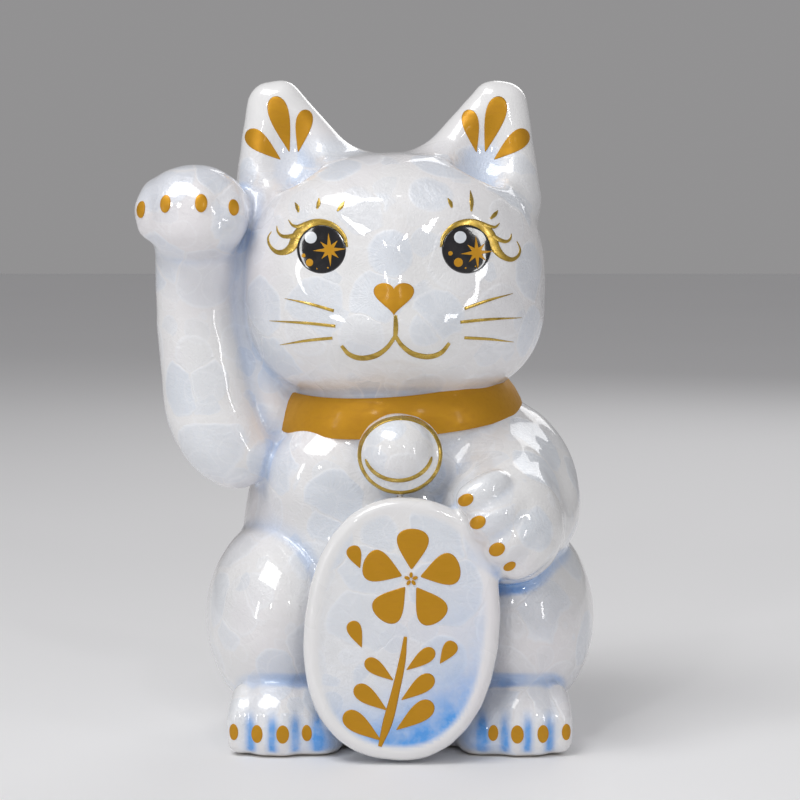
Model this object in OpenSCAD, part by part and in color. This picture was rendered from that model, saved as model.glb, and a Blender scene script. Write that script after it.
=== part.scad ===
// Beckoning cat figurine. Slip-cast porcelain castings are luted together before firing,
// and gold and black enamel are fired on over the glaze. The cat faces -Y and stands on z = 0.

/* [Body] */
// Width of the torso
torso_w = 87; // [72:1:106]
// Depth of the torso
torso_d = 74; // [62:1:90]
// Width across both haunches
haunches_w = 107; // [96:1:130]
// Height of the neck joint above the table
neck_z = 96; // [80:1:116]
// Width of the neck under the collar
neck_w = 65; // [56:1:78]
// Wall of every hollow casting
wall = 4; // [3:0.5:5]

/* [Head] */
// Width of the head at the cheeks
head_w = 83.3; // [70:0.5:100]
// Depth of the head without the muzzle
head_d = 68; // [58:1:82]
// Height of the head above its widest level
crown_h = 38; // [32:1:46]
// Height of the head below its widest level, if it were a whole egg
chin_h = 31; // [29:1:37]
// How far the muzzle swells forward
muzzle = 4.5; // [2:0.5:7]
// Sideways offset of the head
head_x = -1.6; // [-4:0.1:4]

/* [Ears] */
// Height of an ear tip above the crown
ear_h = 20; // [16:0.5:25]
// Distance between the ear tips
ear_span = 62.4; // [54:0.2:72]
// Thickness of an ear
ear_t = 12; // [10:0.5:15]

/* [Arms and feet] */
// Thickness of the raised forearm
arm_d = 22; // [19:0.5:26]
// Width of the raised paw
paw_w = 30; // [26:0.5:36]
// Height of the raised paw's middle above the neck joint
paw_z = 47; // [40:0.5:56]
// Thickness of the arm that holds the coin
coin_arm_d = 22; // [19:0.5:26]
// Width of a foot
foot_w = 24; // [20:0.5:28]
// Height of a foot
foot_h = 20.5; // [17:0.5:25]
// Thickness of the tail
tail_d = 14; // [12:0.5:17]

/* [Coin, collar and bell] */
// Width of the coin
coin_w = 50.5; // [43:0.5:58]
// Height of the coin
coin_h = 71; // [61:0.5:82]
// Thickness of the coin
coin_t = 6; // [5:0.5:8]
// Height of the collar band
collar_h = 10.5; // [8:0.5:12.5]
// How far the collar stands out from the neck
collar_t = 2.2; // [1.5:0.1:3]
// Diameter of the bell
bell_d = 23; // [19:0.5:27]

/* [Base] */
// Thickness of the floor disc
disc_t = 4; // [3:0.5:5]
// Diameter of the floor disc
disc_d = 60; // [50:1:66]
// How far the floor disc sits above the table
disc_z = 1.5; // [1:0.5:2]
// Diameter of the stopper
stopper_d = 18; // [14:0.5:22]
// Gap between the stopper and its hole
stopper_gap = 0.05; // [0.02:0.01:0.1]

/* [Enamel] */
// How far an enamel layer stands above the glaze, and the same below it
layer = 0.3; // [0.2:0.05:0.5]
// Diameter of an eye
eye_d = 13.6; // [11:0.2:16]
// Distance between the eyes
eye_span = 38.4; // [34:0.2:44]
// Width of a claw's gold spot
claw_w = 3.2; // [2.6:0.1:4]

/* [Hidden] */

porcelain = [0.93, 0.93, 0.96];
gold = [0.80, 0.58, 0.16];
black = [0.03, 0.03, 0.04];
rings = 20;
sides = 36;
soft = 5;
floor_t = disc_z + disc_t;
head_z = neck_z + 26;
crown_z = head_z + crown_h;
head_y = -4;
head_power = 2.6;
plan_power = 2.3;
muzzle_z = head_z - 9;
ear_x = head_x - 1.9;
ear_y = 2;
ear_low = 7;
shoulder_x = torso_w / 2;
paw_at = [-shoulder_x - 12, -14, neck_z + paw_z];
coin_paw_at = [23, -torso_d / 2 - 4, min(neck_z - 36, coin_h - 10)];
foot_at = [haunches_w / 2 - 21, -30, foot_h * 0.42];
coin_at = [0.3, -torso_d / 2 - 9.5, coin_h / 2 + 0.3];
coin_turn = 6;
coin_lean = -6;
bell_at = [0, -torso_d / 2 + 3.5, neck_z - 16];
collar_roll = 3.8;
collar_pitch = 4.6;
collar_z = neck_z - 4.2;
eye_z = head_z + 12.4;

// ---- Shape functions ----

// Soft maximum of two radii
function smax(a, b) = (a + b + sqrt((a - b) * (a - b) + soft * soft)) / 2;

// How far a ray from the origin along d runs before it leaves an ellipsoid
function ray_out(d, centre, radii) =
    let (q = [for (i = [0 : 2]) d[i] / radii[i]])
    let (m = [for (i = [0 : 2]) centre[i] / radii[i]])
    let (s = (q * m) * (q * m) - (q * q) * (m * m - 1))
    s < 0 ? 0 : max(0, (q * m + sqrt(s)) / (q * q));

// Radius of the body at angle a and height z
function body_r(a, z) =
    let (d = [cos(a), sin(a), 0])
    let (trunk = ray_out(d, [-0.5, 3, neck_z * 0.54 - z],
        [torso_w / 2, torso_d / 2, neck_z * 0.54]))
    let (neck = ray_out(d, [0, -1, neck_z - 10 - z], [neck_w / 2, neck_w / 2 - 3.5, 22]))
    let (foot_ring = ray_out(d, [0, 1, 12 - z], [torso_w / 2, torso_d / 2 + 2, 26]))
    let (belly = ray_out(d, [0, -5, 40 - z], [34, torso_d / 2 - 3, 38]))
    let (side = haunches_w / 2 - 21.5)
    let (left = ray_out(d, [-side, -6, 32 - z], [21.5, 34, 28]))
    let (right = ray_out(d, [side, -6, 32 - z], [21.5, 34, 28]))
    smax(smax(max(trunk, neck), foot_ring), max(belly, max(left, right)));

// Scale of the head's plan at height z, 1 at the cheeks and 0 at the crown
function head_scale(z) =
    let (h = z > head_z ? crown_h : chin_h)
    pow(max(0, 1 - pow(abs(z - head_z) / h, head_power)), 1 / head_power);

function muzzle_swell(x, z) =
    muzzle * exp(-pow((x - head_x) / 17, 2) - pow((z - muzzle_z) / 11, 2));

// A point of the head's plan at angle a, pulled in by t
function head_point(a, z, scale, t) =
    let (c = sign(cos(a)) * pow(abs(cos(a)), 2 / plan_power))
    let (s = sign(sin(a)) * pow(abs(sin(a)), 2 / plan_power))
    let (x = head_x + c * max(0.5, head_w / 2 * scale - t))
    [x, head_y + s * max(0.5, head_d / 2 * scale - t) + min(0, s) * muzzle_swell(x, z), z];

// y of the head's front at x and z
function face_y(x, z) =
    let (scale = head_scale(z))
    let (c = min(1, abs(x - head_x) / (head_w / 2 * scale)))
    let (s = pow(1 - pow(c, plan_power), 1 / plan_power))
    head_y - s * (head_d / 2 * scale + muzzle_swell(x, z));

// A circle, a teardrop and a stroke's points, as lists of [x, z]
function ring(x, z, r, n = 20) = [for (i = [0 : n - 1]) [x, z] + r * [cos(360 * i / n), sin(360 * i / n)]];

function drop(tip, tail, w, n = 18) =
    let (u = (tip - tail) / norm(tip - tail))
    let (v = [-u[1], u[0]])
    [for (i = [0 : n - 1]) let (a = 360 * i / n)
        (tip + tail) / 2 + u * cos(a) * norm(tip - tail) / 2
        + v * sin(a) * w / 2 * (0.62 + 0.38 * cos(a))];

function bezier(a, b, c, n) =
    [for (i = [0 : n]) let (t = i / n) (1 - t) * (1 - t) * a + 2 * t * (1 - t) * b + t * t * c];

function mean(list, i = 0) = i == len(list) ? [0, 0] : list[i] / len(list) + mean(list, i + 1);

// ---- Building modules ----

// Skin over a list of rings, each with the same number of points, closed at both ends
module loft(list) {
    n = len(list);
    m = len(list[0]);
    points = [for (r = list) each r];
    side_faces = [for (i = [0 : n - 2]) for (j = [0 : m - 1]) let (k = (j + 1) % m)
        each [[i * m + j, (i + 1) * m + k, i * m + k], [i * m + j, (i + 1) * m + j, (i + 1) * m + k]]];
    caps = [[for (j = [0 : m - 1]) j], [for (j = [m - 1 : -1 : 0]) (n - 1) * m + j]];
    polyhedron(points, concat(side_faces, caps));
}

// Round-ended tube through points of [x, y, z, radius]
module limb(path, m = 20) {
    n = len(path);
    dirs = [for (i = [0 : n - 1])
        let (d = tip3(path[min(i + 1, n - 1)]) - tip3(path[max(i - 1, 0)])) d / norm(d)];
    start = [for (f = [0.35, 0.8]) hoop(tip3(path[0]) - dirs[0] * path[0][3] * sqrt(1 - f * f),
        dirs[0], path[0][3] * f, m)];
    middle = [for (i = [0 : n - 1]) hoop(tip3(path[i]), dirs[i], path[i][3], m)];
    end = [for (f = [0.8, 0.35]) hoop(tip3(path[n - 1]) + dirs[n - 1] * path[n - 1][3] * sqrt(1 - f * f),
        dirs[n - 1], path[n - 1][3] * f, m)];
    loft(concat(start, middle, end));
}

function tip3(p) = [p[0], p[1], p[2]];

// A circle of m points about the unit vector d
function hoop(centre, d, r, m) =
    let (side = cross([0, 1, 0.2], d))
    let (u = side / norm(side))
    let (v = cross(d, u))
    [for (j = [0 : m - 1]) centre + r * (u * cos(360 * j / m) + v * sin(360 * j / m))];

// Rounded lump: the outline of a main ellipsoid and its toes, seen from the middle
module lump(centre, radii, toes, toe_radii, toe_limit, n = 13, m = 32) {
    function reach(d, i = 0) = i == len(toes) ? ray_out(d, [0, 0, 0], radii)
        : max(min(ray_out(d, toes[i], toe_radii), toe_limit), reach(d, i + 1));
    translate(centre) loft([for (i = [1 : n]) [for (j = [0 : m - 1])
        let (t = -90 + 180 * i / (n + 1))
        let (d = [cos(t) * cos(360 * j / m), cos(t) * sin(360 * j / m), sin(t)])
        d * reach(d)]]);
}

// Thin layer on the face inside an outline of [x, z]
module patch(outline) {
    mid = mean(outline);
    m = len(outline);
    function at(p, out) = [p[0], face_y(p[0], p[1]) - out, p[1]];
    back = [for (k = [0.25, 0.6, 1]) [for (p = outline) at(mid + (p - mid) * k, -layer)]];
    front = [for (k = [1, 0.6, 0.25]) [for (p = outline) at(mid + (p - mid) * k, layer)]];
    loft(concat(back, front));
}

// Thin painted stroke on the face through a list of [x, z], with a width at each point
module stroke(line, widths) {
    n = len(line);
    function across(i) =
        let (d = line[min(i + 1, n - 1)] - line[max(i - 1, 0)]) [-d[1], d[0]] / norm(d) * widths[i] / 2;
    function at(p, out) = [p[0], face_y(p[0], p[1]) - out, p[1]];
    loft([for (i = [0 : n - 1]) let (p = line[i]) let (w = across(i))
        [at(p + w, layer), at(p - w, layer), at(p - w, -layer), at(p + w, -layer)]]);
}

function taper(n, w) = [for (i = [0 : n]) w * (0.25 + 0.75 * sin(180 * i / n))];

module line_stroke(a, b, c, w, n = 6) stroke(bezier(a, b, c, n), taper(n, w));

module body_core() {
    loft([for (i = [0 : rings]) let (z = neck_z * i / rings)
        [for (j = [0 : sides - 1]) let (a = 360 * j / sides) let (r = body_r(a, z))
            [r * cos(a), r * sin(a), z]]]);
}

module head_core() {
    low = asin(pow((head_z - neck_z) / chin_h, head_power / 2));
    loft([for (i = [0 : 17]) let (f = -low + (low + 86) * i / 17)
        let (z = head_z + sign(f) * (f > 0 ? crown_h : chin_h) * pow(sin(abs(f)), 2 / head_power))
        [for (j = [0 : sides - 1]) head_point(360 * j / sides, z, head_scale(z), 0)]]);
}

// ---- Castings ----

module body_shell() {
    color(porcelain) difference() {
        body_core();
        loft([for (i = [0 : 11]) let (z = floor_t + (neck_z + 1 - floor_t) * i / 11)
            [for (j = [0 : 23]) let (a = 15 * j) let (r = body_r(a, min(z, neck_z)) - wall)
                [r * cos(a), r * sin(a), z]]]);
        translate([0, 0, -1]) cylinder(d = disc_d, h = floor_t + 3, $fn = 96);
    }
}

module head_shell() {
    color(porcelain) difference() {
        head_core();
        loft([for (i = [0 : 9]) let (z = neck_z - 0.5 + (crown_z - wall - neck_z) * i / 9)
            let (k = head_scale(min(max(z, neck_z) + wall * max(0, (z - head_z) / crown_h), crown_z - 0.4)))
            [for (j = [0 : 23]) head_point(15 * j, z, k, wall)]]);
    }
}

// One ear: three balls drawn together into a rounded leaf, cut to sit on the head
module ear(side) {
    r = ear_t / 2;
    base_z = crown_z - ear_low;
    color(porcelain) difference() {
        hull() {
            translate([ear_x + side * ear_span / 2, ear_y, crown_z + ear_h - r]) sphere(r = r, $fn = 24);
            translate([ear_x + side * (ear_span / 2 + 3.6), ear_y, base_z]) sphere(r = r, $fn = 24);
            translate([ear_x + side * (ear_span / 2 - 16), ear_y, base_z]) sphere(r = r, $fn = 24);
        }
        head_core();
    }
}

module left_ear() ear(-1);
module right_ear() ear(1);

module raised_arm_core() {
    r = arm_d / 2;
    limb([[-shoulder_x + 2, 2, neck_z - 21, r - 1.4], [-shoulder_x - 3.6, 0, neck_z - 15, r],
        [-shoulder_x - 7.6, -3, neck_z - 6, r + 0.8], [-shoulder_x - 9.6, -6, neck_z + 5, r + 0.3],
        [-shoulder_x - 11.2, -9, neck_z + 16, r - 0.2], [-shoulder_x - 11.8, -11, neck_z + paw_z - 19, r],
        [-shoulder_x - 12, -13, neck_z + paw_z - 9, r + 0.6]]);
}

module raised_arm() {
    color(porcelain) difference() {
        raised_arm_core();
        body_core();
        head_core();
    }
}

// A ball with four toes along its front edge
module paw_core(centre, w, turn) {
    toes = [for (i = [-1.5 : 1.5]) [i * w * 0.25, -w * (0.34 - 0.04 * i * i), -w * 0.04]];
    translate(centre) rotate(turn) lump([0, 0, 0], [w * 0.48, w * 0.42, w * 0.46], toes,
        [w * 0.17, w * 0.17, w * 0.26], w * 0.53);
}

module raised_paw() {
    color(porcelain) difference() {
        paw_core(paw_at, paw_w, [0, 0, -4]);
        raised_arm_core();
        head_core();
    }
}

module coin_arm_core() {
    r = coin_arm_d / 2;
    z = coin_paw_at[2];
    limb([[shoulder_x - 9, 4, neck_z - 19, r - 3], [shoulder_x - 5, 0, neck_z - 23, r - 1],
        [shoulder_x - 5, -8, z + 5, r], [shoulder_x - 8, -18, z - 1, r],
        [shoulder_x - 13, -torso_d / 2 + 8, z - 2, r - 0.5]]);
}

module coin_paw_core() paw_core(coin_paw_at, coin_arm_d * 1.18, [0, 38, 14]);

module coin_arm() {
    color(porcelain) difference() {
        coin_arm_core();
        body_core();
    }
}

module coin_paw() {
    color(porcelain) difference() {
        coin_paw_core();
        coin_arm_core();
        body_core();
    }
}

// A foot with four toes, flat underneath
module foot_core(side) {
    w = foot_w;
    toes = [for (i = [-1.5 : 1.5]) [i * w * 0.26, -w * (0.52 - 0.06 * i * i), -foot_h * 0.12]];
    intersection() {
        lump([side * foot_at[0], foot_at[1], foot_at[2]], [w * 0.5, w * 0.62, foot_h * 0.58], toes,
            [w * 0.18, w * 0.2, foot_h * 0.34], w * 0.7);
        translate([side * foot_at[0] - w, foot_at[1] - w, 0]) cube([2 * w, 2 * w, 2 * foot_h]);
    }
}

module left_foot() {
    color(porcelain) difference() {
        foot_core(-1);
        body_core();
    }
}

module right_foot() {
    color(porcelain) difference() {
        foot_core(1);
        body_core();
    }
}

module tail() {
    r = tail_d / 2;
    back = torso_d / 2;
    color(porcelain) difference() {
        limb([[-12, back, 15, r - 0.5], [-2, back + 3, 12, r], [9, back + 1, 13, r],
            [18, back - 4, 18, r - 0.5], [23, back - 9, 27, r - 1.5]], 16);
        body_core();
    }
}

module coin() {
    color(porcelain) difference() {
        coin_flat();
        body_core();
        coin_paw_core();
        foot_core(-1);
        foot_core(1);
    }
}

// Oval plate with a rounded rim, leaning back against the belly
module coin_flat() {
    translate(coin_at) rotate([coin_lean, coin_turn, 0]) scale([coin_w / coin_h, 1, 1]) rotate([90, 0, 0])
        rotate_extrude($fn = 96) union() {
            translate([0, -coin_t / 2]) square([coin_h / 2 - coin_t / 2, coin_t]);
            intersection() {
                translate([coin_h / 2 - coin_t / 2, 0]) circle(d = coin_t, $fn = 32);
                translate([0, -coin_t / 2]) square([coin_h, coin_t]);
            }
        }
}

// Height of the collar's middle at angle a, tilted with the neck
function collar_mid(a) =
    collar_z + neck_w / 2 * (cos(a) * tan(collar_roll) + sin(a) * tan(collar_pitch));

module collar() {
    function hoop_at(out, up) = [for (j = [0 : sides - 1]) let (a = 360 * j / sides)
        let (z = collar_mid(a) + up)
        let (r = max(body_r(a, min(z, neck_z)), neck_w / 2 - 3) + out)
        [r * cos(a), r * sin(a), z]];
    h = collar_h / 2;
    color(gold) difference() {
        loft([hoop_at(0, -h), hoop_at(collar_t, -h + 1), hoop_at(collar_t, h - 1), hoop_at(0, h)]);
        translate([0, 0, neck_z - 30]) scale([neck_w / 2 - 4, neck_w / 2 - 6, 60])
            loft([for (z = [0, 1]) [for (j = [0 : sides - 1]) let (a = 360 * j / sides) [cos(a), sin(a), z]]]);
        body_core();
        head_core();
    }
}

module bell() {
    color(porcelain) difference() {
        lump(bell_at, bell_d / 2 * [1, 1, 1], [], [], 0, 15);
        body_core();
        collar();
    }
}

module floor_disc() {
    color([0.85, 0.82, 0.76]) translate([0, 0, disc_z]) difference() {
        cylinder(d = disc_d, h = disc_t, $fn = 96);
        translate([0, 0, -1]) cylinder(d = stopper_d, h = disc_t + 2, $fn = 64);
    }
}

module stopper() {
    r = stopper_d / 2 - stopper_gap;
    color([0.9, 0.9, 0.88]) translate([0, 0, disc_z]) union() {
        cylinder(r = r, h = disc_t + 3, $fn = 64);
        translate([0, 0, disc_t + 3]) cylinder(r1 = r, r2 = r - 1.5, h = 2, $fn = 64);
    }
}

// ---- Enamel on the face ----

function eye_x(side) = head_x + side * eye_span / 2;

module left_eye_black() color(black) patch(ring(eye_x(-1), eye_z, eye_d / 2, 24));
module right_eye_black() color(black) patch(ring(eye_x(1), eye_z, eye_d / 2, 24));
module left_eye_light() color("white") eye_light(-1);
module right_eye_light() color("white") eye_light(1);

module eye_light(side) translate([0, -layer * 2, 0]) patch(ring(eye_x(side) - 2.7, eye_z + 3.1, 1.7, 12));

// An eight-pointed star and two dots
module eye_star(side) {
    x = eye_x(side) + 2.7;
    z = eye_z - 0.2;
    translate([0, -layer * 2, 0]) {
        patch([for (i = [0 : 15]) let (r = i % 4 == 0 ? 3.7 : i % 2 == 0 ? 2.2 : 0.9)
            [x, z] + r * [cos(22.5 * i), sin(22.5 * i)]]);
        patch(ring(x - 5.4, z - 3.5, 1, 12));
        patch(ring(x - 6.9, z - 1.2, 0.6, 10));
    }
}

module left_eye_star() color(gold) eye_star(-1);
module right_eye_star() color(gold) eye_star(1);

// The lid line over the eye and three curls at its outer end
module lashes(side) {
    x = eye_x(side);
    r = eye_d / 2;
    lid = [for (i = [0 : 12]) let (a = -4 + 150 * i / 12)
        [x - side * cos(a) * (r + 1), eye_z + 1 + sin(a) * (r + 0.6)]];
    stroke(lid, taper(12, 1.9));
    for (k = [0 : 2]) {
        root = [x + side * (r + 0.2 - k * 1.2), eye_z - 1 + k * 3.2];
        line_stroke(root, root + [side * 4.5, -3.4 + k], root + [side * (6.8 - k * 1.2), 1.4 + k * 1.2], 1.1);
    }
}

module left_lashes() color(gold) lashes(-1);
module right_lashes() color(gold) lashes(1);

module brow_ticks(side) {
    for (k = [-1 : 1]) {
        low = [eye_x(side) + k * 5.6, eye_z + eye_d / 2 + 3.4 - abs(k)];
        line_stroke(low, low + [k * 0.8, 2], low + [k * 0.4 + 0.4, 4], 0.9, 4);
    }
}

module left_brow_ticks() color(gold) brow_ticks(-1);
module right_brow_ticks() color(gold) brow_ticks(1);

module nose_heart() {
    function heart(t) = [5.4 * pow(sin(t), 3), 4.4 * cos(t) - 1.7 * cos(2 * t) - 0.7 * cos(3 * t)];
    color(gold) patch([for (i = [0 : 23]) [head_x, head_z] + heart(15 * i + 7.5)]);
}

module mouth_line() {
    top = [head_x + 0.3, head_z - 5.5];
    fork = top + [0, -4.6];
    color(gold) {
        line_stroke(top, (top + fork) / 2, fork, 1.1, 4);
        for (s = [-1, 1])
            line_stroke(fork + [s * 0.9, 0], fork + [s * 7.4, -8.2], fork + [s * 14.2, -2.6], 1.3, 8);
    }
}

module whiskers(side) {
    for (k = [-1 : 1]) {
        near = [head_x + side * 17.5, head_z - 3.5 + k * 3.8];
        line_stroke(near, near + [side * 7, k * 0.6], near + [side * 15, k * 2.4 + 0.6], 0.9, 5);
    }
}

module left_whiskers() color(gold) whiskers(-1);
module right_whiskers() color(gold) whiskers(1);

// ---- Enamel elsewhere ----

// Three petals on the flat front of an ear
module ear_petals(side) {
    root = [ear_x + side * (ear_span / 2 - 4.4), crown_z + 0.6];
    color(gold) translate([0, ear_y - ear_t / 2 + layer, 0]) rotate([90, 0, 0]) linear_extrude(layer * 2)
        for (a = [-62, -8, 30]) {
            u = [side * -sin(a), cos(a)];
            polygon(drop(root + u * (a == -8 ? 13.5 : 10.5), root + u * 1.6, 5.8));
        }
}

module left_ear_petals() ear_petals(-1);
module right_ear_petals() ear_petals(1);

// Four gold spots on the toes of a paw
module claws(centre, turn, spread, out, drop_z) {
    color(gold) translate(centre) rotate(turn) for (i = [-1.5 : 1.5])
        translate([i * spread, -out + 0.02 * out * i * i * 2, drop_z]) scale([claw_w / 2, 1.3, claw_w * 0.72])
            sphere(r = 1, $fn = 24);
}

module raised_paw_claws() claws(paw_at, [0, 0, -4], paw_w * 0.26, paw_w * 0.5, -paw_w * 0.03);
module coin_paw_claws() claws(coin_paw_at, [0, 38, 14], coin_arm_d * 0.3, coin_arm_d * 0.6, -1);
module left_foot_claws() claws([-foot_at[0], foot_at[1], foot_at[2]], 0, foot_w * 0.26, foot_w * 0.69, -2.5);
module right_foot_claws() claws(foot_at, 0, foot_w * 0.26, foot_w * 0.69, -2.5);

module bell_ring() {
    color(gold) translate(bell_at + [0, -bell_d * 0.16, 0]) rotate([90, 0, 0])
        rotate_extrude($fn = 64) translate([bell_d * 0.474, 0]) circle(r = 0.8, $fn = 16);
}

module bell_line() {
    color(gold) translate(bell_at) rotate([28, 0, 0]) rotate([0, 0, 220])
        rotate_extrude(angle = 100, $fn = 64) translate([bell_d / 2, 0]) circle(r = 0.6, $fn = 16);
}

// A plain five-petalled blossom over a leafy sprig, on the coin's face
module coin_blossom() {
    color(gold) translate(coin_at) rotate([coin_lean, coin_turn, 0])
        translate([0, -coin_t / 2 + layer, 0]) rotate([90, 0, 0]) linear_extrude(layer * 2) {
            for (i = [0 : 4]) {
                u = [sin(72 * i), cos(72 * i)];
                polygon(drop([0, 14] + u * 12, [0, 14] + u * 2.6, 8.4));
            }
            for (side = [-1, 1]) for (k = [0 : 2]) {
                root = [side * 1.4, -8 - k * 6];
                polygon(drop(root + [side * (13 - k * 2), 3.6], root, 5));
            }
            translate([0, -15]) square([1.4, 24], center = true);
        }
}

body_shell();
head_shell();
left_ear();
right_ear();
raised_arm();
raised_paw();
coin_arm();
coin_paw();
left_foot();
right_foot();
tail();
coin();
collar();
bell();
floor_disc();
stopper();
left_eye_black();
right_eye_black();
left_eye_light();
right_eye_light();
left_eye_star();
right_eye_star();
left_lashes();
right_lashes();
left_brow_ticks();
right_brow_ticks();
nose_heart();
mouth_line();
left_whiskers();
right_whiskers();
left_ear_petals();
right_ear_petals();
raised_paw_claws();
coin_paw_claws();
left_foot_claws();
right_foot_claws();
bell_ring();
bell_line();
coin_blossom();
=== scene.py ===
# %% [markdown]
# # A beckoning cat in crystal-glazed porcelain
#
# The real cat is slip-cast: thin porcelain castings are luted together wet, glazed as one,
# fired, and then painted with gold and black enamel that is fired on top. This lesson follows
# the same order: clay first, then the cut into castings, then the enamel, then the finishes.
#
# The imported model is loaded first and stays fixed. Everything below takes its place from it.

# %% Load the frame
import math

import bmesh
import bpy
import numpy as np
import openvdb
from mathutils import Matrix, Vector


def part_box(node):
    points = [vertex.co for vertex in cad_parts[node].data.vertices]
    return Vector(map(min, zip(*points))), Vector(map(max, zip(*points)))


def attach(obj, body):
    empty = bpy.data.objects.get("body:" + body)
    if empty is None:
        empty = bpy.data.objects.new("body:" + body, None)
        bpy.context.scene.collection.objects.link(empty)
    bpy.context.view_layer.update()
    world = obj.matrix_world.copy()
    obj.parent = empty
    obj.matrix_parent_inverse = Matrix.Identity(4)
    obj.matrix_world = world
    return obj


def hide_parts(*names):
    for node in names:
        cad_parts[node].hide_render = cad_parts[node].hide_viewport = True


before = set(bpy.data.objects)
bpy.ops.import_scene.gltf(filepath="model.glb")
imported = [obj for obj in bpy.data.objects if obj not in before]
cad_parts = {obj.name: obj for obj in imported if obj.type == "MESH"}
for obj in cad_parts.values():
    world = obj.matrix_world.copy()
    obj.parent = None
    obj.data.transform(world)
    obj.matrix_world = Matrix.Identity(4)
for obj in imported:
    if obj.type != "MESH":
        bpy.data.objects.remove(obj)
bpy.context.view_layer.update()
MM = 0.001


def corners(node):
    """Lowest and highest corner of a CAD node, in millimetres."""
    return [np.array(corner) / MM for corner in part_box(node)]


def middle(node):
    """The middle of a CAD node's box, in millimetres."""
    return sum(corners(node)) / 2


def link(piece):
    """Puts a new object in the scene."""
    bpy.context.scene.collection.objects.link(piece)
    return piece


# %% [markdown]
# ## Camera
#
# A figurine looks best from a little above, through a long lens that keeps its proportions.
# A short lens would swell the coin and the feet, which stand nearest.

# %% Camera
CAMERA_AWAY = 0.700
CAMERA_HEIGHT = 0.156
CAMERA_DOWN = 5.283
LENS = 113.4

camera = link(bpy.data.objects.new("camera", bpy.data.cameras.new("camera")))
camera.location = (0, -CAMERA_AWAY, CAMERA_HEIGHT)
camera.rotation_euler = (math.radians(90 - CAMERA_DOWN), 0, 0)
camera.data.lens = LENS
camera.data.sensor_width = 36
bpy.context.scene.camera = camera
bpy.context.scene.view_settings.view_transform = "Standard"
print("camera:", LENS, "mm lens,", CAMERA_AWAY, "m away")

# %% [markdown]
# ## Clay
#
# The cat has no straight edge and no flat face: every limb runs into the next with a soft
# fillet where glaze has pooled. Boxes and subdivision could make it, but each joint would need
# its own patch of quads. A distance field is nearer to clay: each lump is a formula that says
# how far a point is from it, and a smooth minimum presses two lumps together with a fillet of
# a chosen size. The surface is found once, at the end, as one even skin.


# %% The clay block
FAR = 40.0
REACH = 9.0


def smooth_min(a, b, fillet):
    """The smaller distance, with a fillet where the two are nearly equal."""
    near = np.maximum(fillet - np.abs(a - b), 0) / fillet
    return np.minimum(a, b) - near * near * fillet / 4


def blur(field, times):
    """Evens out a field on the grid, a little more with each pass."""
    for _ in range(times):
        for axis in range(3):
            beside = np.roll(field, 1, axis) + np.roll(field, -1, axis)
            field = (0.5 * field + 0.25 * beside).astype(np.float32)
    return field


class Clay:
    """A block of space that knows its distance to the clay at every grid point."""

    def __init__(self, low, high, step):
        self.low, self.step = np.array(low, float), step
        count = np.ceil((np.array(high) - self.low) / step).astype(int) + 1
        self.axes = [self.low[i] + step * np.arange(count[i]) for i in range(3)]
        self.d = np.full(count, FAR, np.float32)
        self.forms = []

    def window(self, form):
        """The part of the grid that a form can touch, and its coordinates."""
        sides = []
        for i in range(3):
            first = int((form.low[i] - REACH - self.low[i]) / self.step)
            last = int((form.high[i] + REACH - self.low[i]) / self.step) + 2
            sides.append(slice(max(0, first), max(0, last)))
        x, y, z = [self.axes[i][sides[i]] for i in range(3)]
        return tuple(sides), x[:, None, None], y[None, :, None], z[None, None, :]

    def press(self, owner, form, fillet=3.0):
        """Adds a lump, which belongs to the casting named owner."""
        window, x, y, z = self.window(form)
        self.d[window] = smooth_min(self.d[window], form(x, y, z), fillet)
        self.forms.append((owner, form))

    def carve(self, form, fillet=1.5):
        """Takes a lump away."""
        window, x, y, z = self.window(form)
        self.d[window] = -smooth_min(-self.d[window], form(x, y, z), fillet)

    def sample(self, field, points):
        """The value of a grid field at points given in grid steps."""
        cell = np.clip(points.astype(int), 0, np.array(self.d.shape) - 2)
        part = points - cell
        total = 0
        for corner in np.ndindex(2, 2, 2):
            weight = np.prod(np.where(corner, part, 1 - part), axis=1)
            value = field[tuple((cell + corner).T)]
            total = total + (value.T * weight).T
        return total

    def skin(self):
        """Points, quads and outward normals of the surface."""
        grid = openvdb.FloatGrid()
        grid.copyFromArray(np.ascontiguousarray(self.d))
        steps, quads = grid.convertToQuads(isovalue=0.0)
        normal = self.sample(np.stack(np.gradient(self.d), axis=-1), steps)
        normal /= np.linalg.norm(normal, axis=1, keepdims=True)
        return steps, quads, normal

    def hollows(self, passes):
        """How hollow the surface is at each grid point, per millimetre: above 0 in a crease."""
        slope = np.gradient(blur(self.d, passes), self.step)
        length = np.maximum(np.sqrt(sum(s * s for s in slope)), 1e-3)
        return -sum(np.gradient(s / length, self.step, axis=i) for i, s in enumerate(slope))


# %% The lumps that a modeller would roll
class Form:
    """A distance formula and the box that holds its surface."""

    def __init__(self, formula, low, high):
        self.formula, self.low, self.high = formula, np.array(low), np.array(high)

    def __call__(self, x, y, z):
        return self.formula(x, y, z)


def egg(centre, radii, turn=0.0, nod=0.0):
    """An ellipsoid, turned about the front-to-back axis by some degrees.

    nod slides it forward as it goes down, by that share of the height."""
    c, r = np.array(centre, float), np.array(radii, float)
    cos, sin = math.cos(math.radians(turn)), math.sin(math.radians(turn))

    def formula(x, y, z):
        px, py, pz = x - c[0], y - c[1] - nod * (z - c[2]), z - c[2]
        px, pz = cos * px + sin * pz, cos * pz - sin * px
        outer = np.sqrt((px / r[0]) ** 2 + (py / r[1]) ** 2 + (pz / r[2]) ** 2)
        slope = np.sqrt((px / r[0] ** 2) ** 2 + (py / r[1] ** 2) ** 2 + (pz / r[2] ** 2) ** 2)
        return outer * (outer - 1) / np.maximum(slope, 1e-6)

    reach = (max(r) if turn else r) + np.array([0, abs(nod) * r[2], 0])
    return Form(formula, c - reach, c + reach)


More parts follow.
